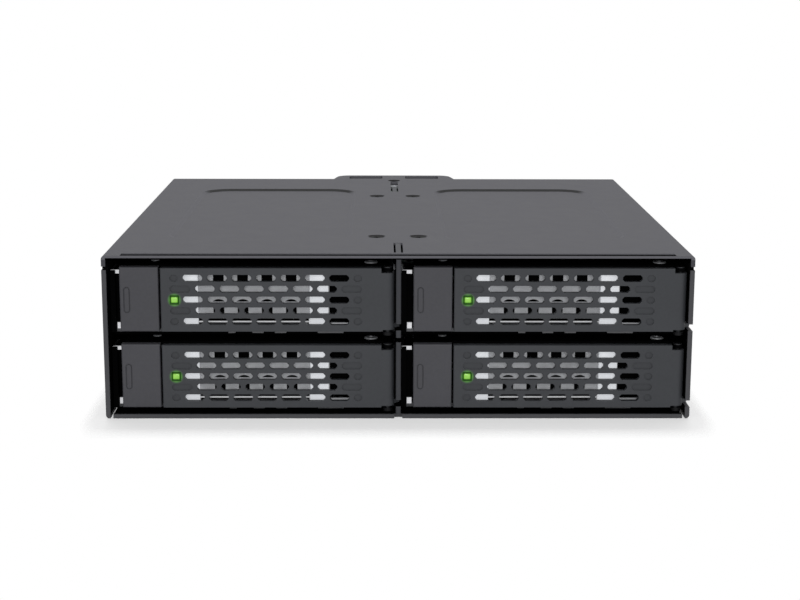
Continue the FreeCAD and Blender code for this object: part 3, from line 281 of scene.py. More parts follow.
def mouldedPlastic(name, look):
    finish, tree, shader, place = startFinish(name)
    skin = effect(tree, "spark", {"Place": place, "Fineness": look["grain"]})
    edges = effect(tree, "edges", {"Radius": look["edge"], "Worn And Lit Edge": look["wearAndHighlight"]})
    dust = effect(tree, "dust", {"Place": place, "Amount": look["dust"]})["Dust"]
    plastic = toned(tree, look["colour"], skin["Tone"])
    plastic = blendColour(tree, edges["Edge"], plastic, look["wornLitEdgeColour"])
    plastic = blendColour(tree, dust, plastic, dustColour)
    if "halo" in look:  # green light spilt round the lamp
        away = add(tree, "VectorMath", {0: place, 1: look["halo"]}, operation="DISTANCE").outputs["Value"]
        spill = spread(tree, away, look["haloInner"], look["haloOuter"], 1.0, 0.0)
        wire(tree, shader, {"Emission Color": look["haloColour"],
                            "Emission Strength": maths(tree, "MULTIPLY", spill, spill)})
    rough = maths(tree, "ADD", maths(tree, "MULTIPLY", skin["Tone"], 0.6), look["rough"], clamp=True)
    wire(tree, shader, {"Base Color": plastic, "Roughness": rough, "Specular IOR Level": look["gloss"],
                        "Normal": bumped(tree, skin["Height"], look["depth"], 0.4, edges["Normal"])})
    if "glow" in look:
        wire(tree, shader, {"Emission Color": look["glowColour"], "Emission Strength": look["glow"]})
    return finish


def dustFoam(name, look):
    finish, tree, shader, place = startFinish(name)
    cells = add(tree, "TexVoronoi", {"Vector": place, "Scale": look["grain"]}, feature="SMOOTH_F1")
    pores = spread(tree, cells.outputs["Distance"], 0.1, 0.6)
    soft = effect(tree, "edges", {"Radius": look["edge"]})["Normal"]
    wire(tree, shader, {"Base Color": blendColour(tree, pores, look["poreColour"], look["colour"]),
                        "Roughness": 0.95, "Specular IOR Level": 0.05,
                        "Normal": bumped(tree, pores, look["depth"], 0.8, soft)})
    return finish


def sheetMetal(name, look):
    finish, tree, shader, place = startFinish(name)
    lines = effect(tree, "rolling", {"Place": place, "Stretch": look["stretch"], "Fineness": look["grain"]})
    edges = effect(tree, "edges", {"Radius": look["edge"], "Worn And Lit Edge": look["wearAndHighlight"]})
    scratch = effect(tree, "scratch", {"Place": place, "Amount": look["scratch"]})["Scratch"]
    metal = toned(tree, look["colour"], maths(tree, "MULTIPLY", lines["Line"], look["contrast"]))
    metal = blendColour(tree, edges["Edge"], metal, look["wornLitEdgeColour"])
    metal = blendColour(tree, scratch, metal, look["wornLitEdgeColour"])
    rough = maths(tree, "ADD", maths(tree, "MULTIPLY", lines["Line"], 0.35), look["rough"], clamp=True)
    wire(tree, shader, {"Base Color": metal, "Roughness": rough, "Metallic": look["metal"],
                        "Specular IOR Level": look["gloss"],
                        "Normal": bumped(tree, lines["Height"], look["depth"], 0.4, edges["Normal"])})
    if "glow" in look:
        wire(tree, shader, {"Emission Color": metal, "Emission Strength": look["glow"]})
    return finish


def litLens(name, look):
    finish, tree, shader, place = startFinish(name)
    normal = add(tree, "NewGeometry").outputs["Normal"]
    facing = add(tree, "VectorMath", {0: normal, 1: look["beam"]}, operation="DOT_PRODUCT").outputs["Value"]
    flow = swing(tree, noise(tree, place, 1300.0, 2.0), 0.12)
    facing = maths(tree, "ADD", facing, flow)
    colour = blendColour(tree, spread(tree, facing, 0.35, 0.8), look["rim"], look["colour"])
    colour = blendColour(tree, spread(tree, facing, 0.82, 1.0), colour, look["hot"])
    wire(tree, shader, {"Base Color": colour, "Emission Color": colour, "Emission Strength": look["glow"],
                        "Coat Weight": 0.6, "Roughness": spread(tree, flow, -0.1, 0.1, 0.12, 0.3)})
    return finish


def solderMask(name, look):
    finish, tree, shader, place = startFinish(name)
    tracks = spread(tree, noise(tree, place, 240.0, 0.0), 0.49, 0.505)
    weave = swing(tree, noise(tree, place, 3000.0, 1.0), 0.2)
    edges = effect(tree, "edges", {"Radius": look["edge"], "Worn And Lit Edge": 0.2})
    coat = blendColour(tree, tracks, toned(tree, look["colour"], weave), look["copper"])
    coat = blendColour(tree, edges["Edge"], coat, look["wornLitEdgeColour"])
    wire(tree, shader, {"Base Color": coat, "Roughness": spread(tree, tracks, 0.0, 1.0, 0.4, 0.32),
                        "Normal": bumped(tree, tracks, look["depth"], 0.6, edges["Normal"])})
    return finish


coverLow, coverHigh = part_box("top_cover")
# painted shade: the cage's hollow, where the coat is painted dead black
cageShadeBox = (Vector((coverLow.x + 0.9 * mm, coverLow.y + 0.7 * mm, 0.9 * mm)),
          Vector((coverHigh.x - 0.9 * mm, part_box("backplane_board")[0].y, coverHigh.z - 0.62 * mm)))
# painted shade: the strip just under the cover's flanges is painted dead black
flangeGapShade = (Vector((coverLow.x + 0.05 * mm, coverLow.y + 0.2 * mm, coverLow.z - 1.5 * mm)),
             Vector((coverHigh.x - 0.05 * mm, coverHigh.y + 1.0 * mm, coverLow.z + 0.05 * mm)))
# painted shadow: a dark line behind the cover's front lip
lipSeamShadow = (Vector((coverLow.x + 4.6 * mm, coverLow.y + 0.25 * mm, coverHigh.z - 0.4 * mm)),
           Vector((coverHigh.x - 4.6 * mm, coverLow.y + 2.7 * mm, coverHigh.z + 0.2 * mm)))
paintLook = {"colour": shade(77, 77, 82), "wornLitEdgeColour": shade(118, 118, 124), "grain": 2400.0,
             "mottle": 0.035, "edge": 0.3 * mm, "wearAndHighlight": 0.5, "dust": 0.03, "scratch": 0.05, "rough": 0.58,
             "depth": 0.00002, "gloss": 0.15, "shadeBoxes": [cageShadeBox], "paintedShadeColour": shade(9, 9, 10)}
plasticLook = {"colour": shade(66, 68, 72), "wornLitEdgeColour": shade(100, 102, 108), "grain": 3600.0, "wearAndHighlight": 0.5,
               "edge": 0.14 * mm, "dust": 0.03, "rough": 0.5, "depth": 0.00001, "gloss": 0.35}
blackLook = {**plasticLook, "colour": shade(15, 15, 17), "wornLitEdgeColour": shade(34, 34, 37), "gloss": 0.2}
deadLook = {**blackLook, "colour": shade(5, 5, 6), "wornLitEdgeColour": shade(9, 9, 10), "gloss": 0.04, "rough": 0.8,
            "dust": 0.0}
steelLook = {"colour": shade(176, 178, 182), "wornLitEdgeColour": shade(222, 223, 226), "grain": 5200.0,
             "stretch": (1.0, 0.03, 1.0), "contrast": 0.35, "edge": 0.12 * mm, "wearAndHighlight": 0.5, "scratch": 0.15,
             "rough": 0.36, "depth": 0.000006, "metal": 1.0, "gloss": 0.5}
lensLook = {"colour": shade(104, 176, 34), "hot": shade(158, 220, 92), "rim": shade(30, 84, 10),
            "beam": (-0.12, -0.97, 0.2), "glow": 0.25}

finishes = {
    # painted shade in the hollow and along the lip seam; painted shade and highlight on the pressed slopes
    # and the front lip
    "cover_paint": powderCoat("coverPaint", {**paintLook, "shadeBoxes": [cageShadeBox, lipSeamShadow],
                                               "paintedLightLevel": coverHigh.z - 1.0 * mm}),
    # painted shade inside the cage and in the gap under the cover's flanges
    "cage_paint": powderCoat("cagePaint", {**paintLook, "colour": shade(84, 84, 87),
                                              "shadeBoxes": [cageShadeBox, flangeGapShade]}),
    # painted shade: the shelf is painted near black
    "shelf_paint": powderCoat("shelfPaintedShade", {**paintLook, "colour": shade(22, 22, 24)}),
    "divider_paint": powderCoat("dividerPaint", {**paintLook, "colour": shade(70, 71, 75)}),
    "black_screw": sheetMetal("blackScrew", {**steelLook, "colour": shade(14, 14, 15), "metal": 0.0,
                                             "wornLitEdgeColour": shade(36, 36, 39), "rough": 0.6, "gloss": 0.08}),
    "zinc_screw": sheetMetal("zincScrew", steelLook),
    "board_mask": solderMask("boardMask", {"colour": shade(14, 46, 30), "copper": shade(24, 72, 44),
                                           "wornLitEdgeColour": shade(120, 116, 80), "edge": 0.1 * mm,
                                           "depth": 0.00003}),
    "bracket_steel": sheetMetal("bracketSteel", {**steelLook, "stretch": (0.03, 1.0, 1.0)}),
    "fan_frame_plastic": mouldedPlastic("fanFramePlastic", {**blackLook, "colour": shade(30, 30, 32)}),
    "fan_rotor_plastic": mouldedPlastic("fanRotorPlastic", {**blackLook, "colour": shade(26, 26, 28)}),
    "connector_plastic": mouldedPlastic("connectorPlastic", {**blackLook, "colour": shade(24, 24, 26)}),
    "power_plastic": mouldedPlastic("powerPlastic", {**blackLook, "colour": shade(30, 30, 32)}),
    "knob_plastic": mouldedPlastic("knobPlastic", {**plasticLook, "colour": shade(206, 206, 202),
                                                   "wornLitEdgeColour": shade(232, 232, 230)}),
    "pan_steel": sheetMetal("panSteel", steelLook),
    # painted highlight: the shield steel is given a faint glow
    "shield_steel": sheetMetal("shieldSteel", {**steelLook, "colour": shade(222, 224, 228), "metal": 0.2,
                                               "wornLitEdgeColour": shade(244, 245, 248), "glow": 0.045,
                                               "contrast": 0.6}),
    "frame_plastic": mouldedPlastic("framePlastic", deadLook),
    "lever_plastic": mouldedPlastic("leverPlastic", plasticLook),
    "latch_plastic": mouldedPlastic("latchPlastic", {**plasticLook, "colour": shade(77, 77, 82)}),
    "lens_green": litLens("lensGreen", lensLook),
    "pin_steel": sheetMetal("pinSteel", {**steelLook, "colour": shade(50, 51, 54), "metal": 0.7}),
    # the rivet rims are lightened all round: wear and a painted highlight
    "rivet_steel": sheetMetal("rivetSteel", {**steelLook, "colour": shade(186, 188, 192), "metal": 0.4,
                                             "wornLitEdgeColour": shade(246, 247, 250), "wearAndHighlight": 1.0,
                                             "edge": 0.3 * mm}),
}
slotOf = {part["node"]: part["material_slot"] for part in frame["record"]["subparts"]}
for name, node in frame["nodes"].items():
    node.data.materials.clear()
    node.data.materials.append(finishes[slotOf[name]])
print("finishes on", len(frame["nodes"]), "nodes")


# closer finishes on parts of a few nodes
# painted highlight: the lugs are near white and glow
lugPaintedHighlight = sheetMetal("lugPaintedHighlight", {**steelLook, "colour": shade(240, 241, 244), "metal": 0.1, "glow": 0.35})
earSteel = sheetMetal("earSteel", {**steelLook, "colour": shade(26, 26, 28), "metal": 0.2, "gloss": 0.2,
                                   "wornLitEdgeColour": shade(60, 60, 64)})
# painted shade: the pan's front edge is darker than the pan
panLipPaintedShade = sheetMetal("panLipPaintedShade", {**steelLook, "colour": shade(104, 105, 108), "metal": 0.5})
# painted highlight: the sill bar is near white and glows
sillPaintedHighlight = sheetMetal("sillPaintedHighlight", {**steelLook, "colour": shade(240, 241, 244), "metal": 0.1, "glow": 0.25})
postSteel = sheetMetal("postSteel", {**steelLook, "colour": shade(176, 178, 182), "metal": 0.4})


def dressPan(tray):  # lugs at the left get a painted highlight, dark ears at the hinge, the front edge is darkened as painted shade
    reach = {"lugSide": 2.8 * mm, "lugFoot": 0.81 * mm, "lugStart": 4.3 * mm, "lugEnd": 5.3 * mm,
             "ear": 4.8 * mm, "earDepth": 6.5 * mm}
    low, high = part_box(f"tray_{tray}_pan")
    mesh = frame["nodes"][f"tray_{tray}_pan"].data
    for finish in (lugPaintedHighlight, earSteel, panLipPaintedShade):
        mesh.materials.append(finish)
    for face in mesh.polygons:
        depth, side, height = face.center.y - low.y, face.center.x - low.x, face.center.z - low.z
        beside = side < reach["lugSide"] and height > reach["lugFoot"]
        if depth < reach["earDepth"] and face.center.x > high.x - reach["ear"]:
            face.material_index = 2
        elif reach["lugStart"] < depth < reach["lugEnd"] and beside:
            face.material_index = 1
        elif depth < reach["lugEnd"] and face.normal.y < -0.5:
            face.material_index = 3


def dressShield(tray):  # the sill bar gets a painted highlight: near white and glowing
    low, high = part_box(f"tray_{tray}_shield")
    mesh = frame["nodes"][f"tray_{tray}_shield"].data
    mesh.materials.append(sillPaintedHighlight)
    for face in mesh.polygons:
        inside = low.x + 9.0 * mm < face.center.x < high.x - 8.0 * mm
        if inside and face.center.z < low.z + 1.3 * mm and face.normal.y < -0.5:
            face.material_index = 1


def haloLever(tray):  # each lever is lit round its own lamp
    low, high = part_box(f"tray_{tray}_lens")
    middle = (low + high) / 2
    glow = {"halo": (middle.x, low.y + 0.15 * mm, middle.z), "haloInner": 1.1 * mm, "haloOuter": 2.0 * mm,
            "haloColour": shade(76, 150, 26)}
    mesh = frame["nodes"][f"tray_{tray}_lever"].data
    mesh.materials.clear()
    mesh.materials.append(mouldedPlastic(f"leverPlastic{tray}", {**plasticLook, **glow}))


for tray in trays:
    dressPan(tray)
    dressShield(tray)
    haloLever(tray)
    frame["nodes"][f"tray_{tray}_latch_post"].data.materials[0] = postSteel
print("pans, shields and levers dressed")


# small shapes that the pieces are made of
def poured(bm, part, material):  # adds a finished part to a growing mesh
    for face in part.faces:
        face.material_index = material
    scratch = bpy.data.meshes.new("scratch")
    part.to_mesh(scratch)
    part.free()
    bm.from_mesh(scratch)
    bpy.data.meshes.remove(scratch)


def bar(bm, low, high, rounding=0.0, material=0, segments=2):
    low, high = Vector(low), Vector(high)
    part = bmesh.new()
    bmesh.ops.create_cube(part, size=1.0)
    bmesh.ops.scale(part, vec=high - low, verts=part.verts)
    bmesh.ops.translate(part, vec=(low + high) / 2, verts=part.verts)
    if rounding:
        bmesh.ops.bevel(part, geom=part.edges, offset=rounding, offset_type="OFFSET", affect="EDGES",
                        segments=segments, profile=0.5, material=-1)
    poured(bm, part, material)


def turned(bm, profile, place, axis="Z", steps=28, material=0):
    part = bmesh.new()
    verts = [part.verts.new((radius, 0.0, height)) for radius, height in profile]
    edges = [part.edges.new(pair) for pair in zip(verts, verts[1:])]
    bmesh.ops.spin(part, geom=verts + edges, cent=(0, 0, 0), axis=(0, 0, 1), angle=2 * math.pi,
                   steps=steps, use_merge=True)
    bmesh.ops.remove_doubles(part, verts=part.verts, dist=0.0005 * mm)
    bmesh.ops.rotate(part, verts=part.verts, cent=(0, 0, 0), matrix=Euler(leanTo[axis]).to_matrix())
    bmesh.ops.translate(part, vec=place, verts=part.verts)
    poured(bm, part, material)


def asPiece(name, bm, body, slots, replaced=(), sharp=35):
    bmesh.ops.recalc_face_normals(bm, faces=bm.faces)
    mesh = bpy.data.meshes.new(name)
    bm.to_mesh(mesh)
    bm.free()
    mesh.shade_smooth()
    mesh.set_sharp_from_angle(angle=math.radians(sharp))
    piece = bpy.data.objects.new(name, mesh)
    bpy.context.scene.collection.objects.link(piece)
    for slot in slots:
        mesh.materials.append(slot if isinstance(slot, bpy.types.Material) else finishes[slot])
    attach(piece, body)
    if replaced:
        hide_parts(*replaced)
    return piece


def carved(piece, cutter):  # cuts one mesh out of the other and keeps the result
    cut = piece.modifiers.new("cut", "BOOLEAN")
    cut.object = cutter
    cut.solver = "EXACT"
    cut.use_self = True  # the arms of the cross run through each other
    bpy.context.view_layer.update()
    shape = bpy.data.meshes.new_from_object(piece.evaluated_get(bpy.context.evaluated_depsgraph_get()))
    piece.modifiers.clear()
    name = piece.data.name
    piece.data = shape
    shape.name = name
    bpy.data.objects.remove(cutter)
    return piece


def solidBoxes(node):  # the box of each separate solid of a node
    bm = bmesh.new()
    bm.from_mesh(frame["nodes"][node].data)
    bmesh.ops.remove_doubles(bm, verts=bm.verts, dist=0.001 * mm)
    boxes, seen = [], set()
    for start in bm.verts:
        if start in seen:
            continue
        shell, waiting = [], [start]
        while waiting:
            vert = waiting.pop()
            if vert not in seen:
                seen.add(vert)
                shell.append(vert.co.copy())
                waiting += [edge.other_vert(vert) for edge in vert.link_edges]
        boxes.append((Vector([min(p[i] for p in shell) for i in range(3)]),
                      Vector([max(p[i] for p in shell) for i in range(3)])))
    bm.free()
    return boxes


# screws with a cross recess
def crossCutter(places, look):
    bm = bmesh.new()
    for place, axis in places:
        shaft = []
        for turn in (0.0, math.pi / 2):
            made = bmesh.ops.create_cube(bm, size=1.0)["verts"]
            bmesh.ops.scale(bm, vec=(look["armLength"], look["armWidth"], look["recess"] * 2), verts=made)
            for vert in made:
                if vert.co.z < 0:  # the arms narrow towards the bottom
                    vert.co.x *= 0.45
                    vert.co.y *= 0.7
            bmesh.ops.rotate(bm, verts=made, cent=(0, 0, 0),
                             matrix=Euler((0, 0, turn + look["turn"])).to_matrix())
            shaft += made
        bmesh.ops.rotate(bm, verts=shaft, cent=(0, 0, 0), matrix=Euler(leanTo[axis]).to_matrix())
        bmesh.ops.translate(bm, vec=place, verts=shaft)
    mesh = bpy.data.meshes.new("crossCutter")
    bm.to_mesh(mesh)
    bm.free()
    cutter = bpy.data.objects.new("crossCutter", mesh)
    bpy.context.scene.collection.objects.link(cutter)
    return cutter


def coverScrews():
    look = {"sunk": 0.3 * mm, "rim": 0.12 * mm, "armWidth": 0.55 * mm, "recess": 0.5 * mm, "turn": 0.4}
    bm, tops = bmesh.new(), []
    for low, high in solidBoxes("cover_screws"):
        middle = (low + high) / 2
        radius = (high.x - low.x) / 2
        foot = low.z - high.z
        head = -radius * 0.55
        top = -look["sunk"]
        profile = [(0.0, foot), (radius * 0.5, foot), (radius * 0.5, head),
                   (radius - look["rim"], top - 0.1 * mm), (radius - look["rim"], top),
                   (radius * 0.72, top + 0.04 * mm), (0.0, top + 0.04 * mm)]
        turned(bm, profile, (middle.x, middle.y, high.z))
        tops.append((Vector((middle.x, middle.y, high.z + top)), "Z"))
    piece = asPiece("coverScrewHeads", bm, "cage", ["black_screw"], ["cover_screws"])
    return carved(piece, crossCutter(tops, {**look, "armLength": 2.4 * mm}))


def panScrews(node, axis, slot):
    look = {"armWidth": 0.5 * mm, "recess": 0.45 * mm, "turn": 0.7, "armLength": 1.9 * mm}
    bm, tops = bmesh.new(), []
    way = {"Z": 2, "Y": 1, "-Y": 1}[axis]
    side = [i for i in range(3) if i != way][0]
    for low, high in solidBoxes(node):
        middle = (low + high) / 2
        radius = (high[side] - low[side]) / 2
        outward = axis[0] != "-"
        top = middle.copy()
        top[way] = high[way] if outward else low[way]
        length = high[way] - low[way]
        head = min(1.3 * mm, length * 0.45)
        shank = radius * 0.52
        profile = [(0.0, -length), (shank, -length), (shank, -head), (radius, -head), (radius, -head * 0.45),
                   (radius * 0.82, -head * 0.12), (radius * 0.55, 0.0), (0.0, 0.0)]
        turned(bm, profile, top, axis)
        tops.append((top, axis))
    piece = asPiece(node + "Heads", bm, "cage", [slot], [node])
    return carved(piece, crossCutter(tops, look))


coverScrews()
print("cover screws cut")


# white strips on the shield, given a painted glow
stripWhiteGlow = mouldedPlastic("stripWhiteGlow", {**plasticLook, "colour": shade(236, 238, 241), "rough": 0.3,
                                           "wornLitEdgeColour": shade(246, 247, 249), "edge": 0.2 * mm,
                                           "glow": 0.46, "glowColour": shade(240, 243, 248)})


def shieldStrips(tray):
    look = {"lift": 0.22 * mm, "rounding": 0.09 * mm, "rim": 0.02 * mm, "trim": 0.3 * mm}
    low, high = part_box(f"tray_{tray}_shield")
    bm = bmesh.new()
    for number, (left, right) in enumerate(stripSpans(tray)):
        left += number * look["trim"]
        bar(bm, (left + look["rim"], low.y - look["lift"], low.z + look["rim"]),
            (right - look["rim"], low.y + 0.1 * mm, high.z - look["rim"]), look["rounding"])
    return asPiece(f"tray{tray}Strips", bm, f"tray_{tray}", [stripWhiteGlow, "knob_plastic"])


def stripSpans(tray):  # left and right of each raised pad, read from the sheet's front faces
    mesh = frame["nodes"][f"tray_{tray}_shield"].data
    front = min(vert.co.y for vert in mesh.vertices)
    xs = sorted({round(vert.co.x, 6) for vert in mesh.vertices if vert.co.y < front + 0.01 * mm})
    gap = max(range(len(xs) - 1), key=lambda i: xs[i + 1] - xs[i])
    return (xs[0], xs[gap]), (xs[gap + 1], xs[-1])


for tray in trays:
    shieldStrips(tray)
print("shield strips on")


# lit lens in the lever
lensRim = mouldedPlastic("lensRim", {**plasticLook, "colour": shade(18, 60, 6), "glow": 0.1,
                                     "wornLitEdgeColour": shade(46, 104, 18), "glowColour": shade(60, 140, 14)})


def leverLens(tray):
    look = {"rim": 0.22 * mm, "sink": 0.2 * mm, "corner": 0.55 * mm, "round": 0.46 * mm,
            "core": (0.98 * mm, 0.5 * mm, 0.86 * mm)}
    low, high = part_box(f"tray_{tray}_lens")
    middle = (low + high) / 2
    bm = bmesh.new()
    made = bmesh.ops.create_cube(bm, size=1.0)["verts"]
    bmesh.ops.scale(bm, vec=high - low, verts=made)
    bmesh.ops.translate(bm, vec=middle, verts=made)
    corners = [edge for edge in bm.edges if abs(edge.verts[0].co.y - edge.verts[1].co.y) > look["rim"]]
    bmesh.ops.bevel(bm, geom=corners, offset=look["corner"], offset_type="OFFSET", affect="EDGES", segments=5,
                    profile=0.5, material=-1)
    front = min(bm.faces, key=lambda face: face.calc_center_median().y)
    bmesh.ops.inset_region(bm, faces=[front], thickness=look["rim"], depth=0.0)
    bmesh.ops.translate(bm, vec=(0, look["sink"], 0), verts=front.verts)
    core = Vector(look["core"])
    centre = Vector((middle.x, low.y + 0.02 * mm + core.y, middle.z))
    bar(bm, centre - core, centre + core, look["round"], 1, 5)
    return asPiece(f"lever{tray}Lens", bm, f"lever_{tray}", [lensRim, "lens_green"], [f"tray_{tray}_lens"])


for tray in trays:
    leverLens(tray)
print("lenses lit")


# black filter behind each shield
foamBlack = dustFoam("filterFoam", {"colour": shade(9, 9, 10), "poreColour": shade(2, 2, 2), "grain": 1500.0,
                                    "depth": 0.00015, "edge": 0.2 * mm})


def shieldFilter(tray):
    look = {"back": 1.35 * mm, "thick": 0.7 * mm, "left": 0.6 * mm, "right": 2.2 * mm, "foot": 0.75 * mm,
            "head": 0.15 * mm, "rim": 0.9 * mm, "rimThick": 1.0 * mm}
    low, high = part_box(f"tray_{tray}_shield")
    left, right = low.x + look["left"], high.x - look["right"]
    foot, head = low.z + look["foot"], high.z - look["head"]
    front = low.y + look["back"]
    bm = bmesh.new()
    bar(bm, (left, front, foot), (right, front + look["thick"], head), 0.15 * mm)
    rimBack = front + look["rimThick"]
    rim = look["rim"]
    for start, end in (((left, foot), (right, foot + rim)), ((left, head - rim), (right, head)),
                       ((left, foot), (left + rim, head)), ((right - rim, foot), (right, head))):
        bar(bm, (start[0], front, start[1]), (end[0], rimBack, end[1]), 0.12 * mm, 1)
    return asPiece(f"tray{tray}Filter", bm, f"tray_{tray}", [foamBlack, "frame_plastic"])


for tray in trays:
    shieldFilter(tray)
print("filters behind the shields")


# painted shade: thin dead black strips that close the gap between the cover's flanges and the walls
def flangeShadeStrips():
    look = {"inset": 1.12 * mm, "thick": 0.16 * mm, "lap": 0.6 * mm, "start": 0.35 * mm, "end": 12.0 * mm,
            "slitFoot": 0.86 * mm, "sunk": 0.22 * mm}
    low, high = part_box("top_cover")
    foot = low.z - 1.0 * mm - look["lap"]
    bm = bmesh.new()
    for side in (low.x + look["inset"], high.x - look["inset"] - look["thick"]):
        bar(bm, (side, low.y + look["start"], foot),
            (side + look["thick"], high.y - look["end"], low.z + look["lap"]), 0.05 * mm)
    for start, end in ((low.x + look["sunk"], low.x + look["inset"]),
                       (high.x - look["inset"], high.x - look["sunk"])):
        bar(bm, (start, low.y + look["start"], low.z - look["slitFoot"]),
            (end, high.y - look["end"], low.z - 0.04 * mm), 0.12 * mm)
    return asPiece("flangeShadeStrips", bm, "cage", ["frame_plastic"])


flangeShadeStrips()
print("flange seals in")


panScrews("board_screws", "-Y", "zinc_screw")
panScrews("bracket_screws", "Z", "zinc_screw")
panScrews("fan_screws", "-Y", "zinc_screw")
print("pan head screws cut")


# gold contacts in the sockets and the ports
contactGold = sheetMetal("contactGold", {**steelLook, "colour": shade(196, 158, 84), "rough": 0.28,
                                         "wornLitEdgeColour": shade(232, 200, 128)})


def contactRow(bm, middle, count, look, depth, top):
    for number in range(count):
        x = middle + (number - (count - 1) / 2) * look["pitch"]
        bar(bm, (x - look["width"] / 2, depth[0], top - look["bury"]),
            (x + look["width"] / 2, depth[1], top + look["lift"]), look["rounding"])


def goldContacts():
    look = {"pitch": 1.27 * mm, "width": 0.62 * mm, "lift": 0.06 * mm, "bury": 0.05 * mm,
            "rounding": 0.02 * mm}
    reach = {"start": 1.3 * mm, "end": 7.3 * mm, "tongue": 3.7 * mm, "socketTongue": 3.0 * mm,
             "socketStart": 3.2 * mm, "socketEnd": 5.8 * mm, "powerShift": 5.6 * mm, "dataShift": 12.3 * mm}
    bm = bmesh.new()
    for node, count in (("data_port_1", 7), ("data_port_2", 7), ("data_port_3", 7), ("data_port_4", 7),
                        ("power_port_left", 15), ("power_port_right", 15)):
        low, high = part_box(node)
        depth = (low.y + reach["start"], low.y + reach["end"])
        contactRow(bm, (low.x + high.x) / 2, count, look, depth, low.z + reach["tongue"])
    for tray in trays:
        low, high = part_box(f"drive_socket_{tray}")
        middle = (low.x + high.x) / 2
        depth = (low.y + reach["socketStart"], low.y + reach["socketEnd"])
        top = low.z + reach["socketTongue"]
        contactRow(bm, middle + reach["powerShift"], 15, look, depth, top)
        contactRow(bm, middle - reach["dataShift"], 7, look, depth, top)
    return asPiece("goldContacts", bm, "cage", [contactGold, "connector_plastic"])


goldContacts()
print("contacts in")


# small parts on the board
chipBlack = mouldedPlastic("chipBlack", {**plasticLook, "colour": shade(26, 26, 29), "rough": 0.42,
                                         "wornLitEdgeColour": shade(60, 60, 64)})
tinSilver = sheetMetal("tinSilver", {**steelLook, "colour": shade(198, 199, 202), "rough": 0.24})
ceramicTan = mouldedPlastic("ceramicTan", {**plasticLook, "colour": shade(150, 118, 84), "wearAndHighlight": 0.2})
canSilver = sheetMetal("canSilver", {**steelLook, "colour": shade(186, 188, 193),
                                     "stretch": (1.0, 1.0, 0.04)})
boardSlots = [chipBlack, tinSilver, ceramicTan, canSilver, "board_mask"]


def smallPart(bm, x, z, face, out, look, upright=False):  # ceramic body with tinned ends
    half = (look["width"] / 2, look["length"] / 2) if upright else (look["length"] / 2, look["width"] / 2)
    cap = look["cap"]
    near, far = sorted((face - out * 0.02 * mm, face + out * look["height"]))
    bar(bm, (x - half[0] + 0.05 * mm, near, z - half[1] + 0.05 * mm),
        (x + half[0] - 0.05 * mm, far - 0.03 * mm, z + half[1] - 0.05 * mm), 0.04 * mm, look["body"])
    for end in (-1, 1):
        if upright:
            inner, outer = sorted((z + end * (half[1] - cap), z + end * half[1]))
            bar(bm, (x - half[0], near, inner), (x + half[0], far, outer), 0.05 * mm, 1)
        else:
            inner, outer = sorted((x + end * (half[0] - cap), x + end * half[0]))
            bar(bm, (inner, near, z - half[1]), (outer, far, z + half[1]), 0.05 * mm, 1)


def chip(bm, x, z, face, look):  # black package with a leg row on two sides
    half, deep = look["size"] / 2, look["height"]
    bar(bm, (x - half, face + 0.1 * mm, z - half), (x + half, face + deep, z + half), 0.12 * mm, 0)
    for number in range(look["legs"]):
        along = z + (number - (look["legs"] - 1) / 2) * look["pitch"]
        for side in (-1, 1):
            root, foot = sorted((x + side * (half - 0.05 * mm), x + side * (half + look["reach"])))
            shoulder = foot if side < 0 else root + look["reach"] * 0.55
            bar(bm, (root, face + deep * 0.4, along - look["leg"]),
                (shoulder, face + deep * 0.55, along + look["leg"]), 0.02 * mm, 1)
            tip, end = sorted((x + side * (half + look["reach"] * 0.4), x + side * (half + look["reach"])))
            bar(bm, (tip, face - 0.01 * mm, along - look["leg"]),
                (end, face + deep * 0.55, along + look["leg"]), 0.03 * mm, 1)
    turned(bm, [(0.0, -0.03 * mm), (0.28 * mm, -0.03 * mm), (0.34 * mm, 0.01 * mm), (0.0, 0.01 * mm)],
           (x - half * 0.65, face + deep, z + half * 0.65), "Y", 16, 2)


def canister(bm, x, z, face, look):  # aluminium capacitor on its square base
    wide, tall = look["radius"], look["tall"]
    bar(bm, (x - wide, face - 0.01 * mm, z - wide), (x + wide, face + look["base"], z + wide), 0.25 * mm, 0)
    profile = [(0.0, 0.0), (wide * 0.92, 0.0), (wide * 0.92, tall * 0.2), (wide * 0.85, tall * 0.26),
               (wide * 0.92, tall * 0.33), (wide * 0.92, tall - 0.3 * mm), (wide * 0.84, tall),
               (wide * 0.7, tall), (wide * 0.66, tall - 0.12 * mm), (0.0, tall - 0.12 * mm)]
    turned(bm, profile, (x, face + look["base"] * 0.8, z), "Y", 36, 3)


def solderedPin(bm, x, z, face, radius):
    profile = [(0.0, 0.0), (radius * 1.9, 0.0), (radius * 1.3, radius * 0.5), (radius * 0.8, radius * 1.3),
               (radius * 0.6, radius * 2.0), (0.0, radius * 2.2)]
    turned(bm, profile, (x, face, z), "Y", 14, 1)


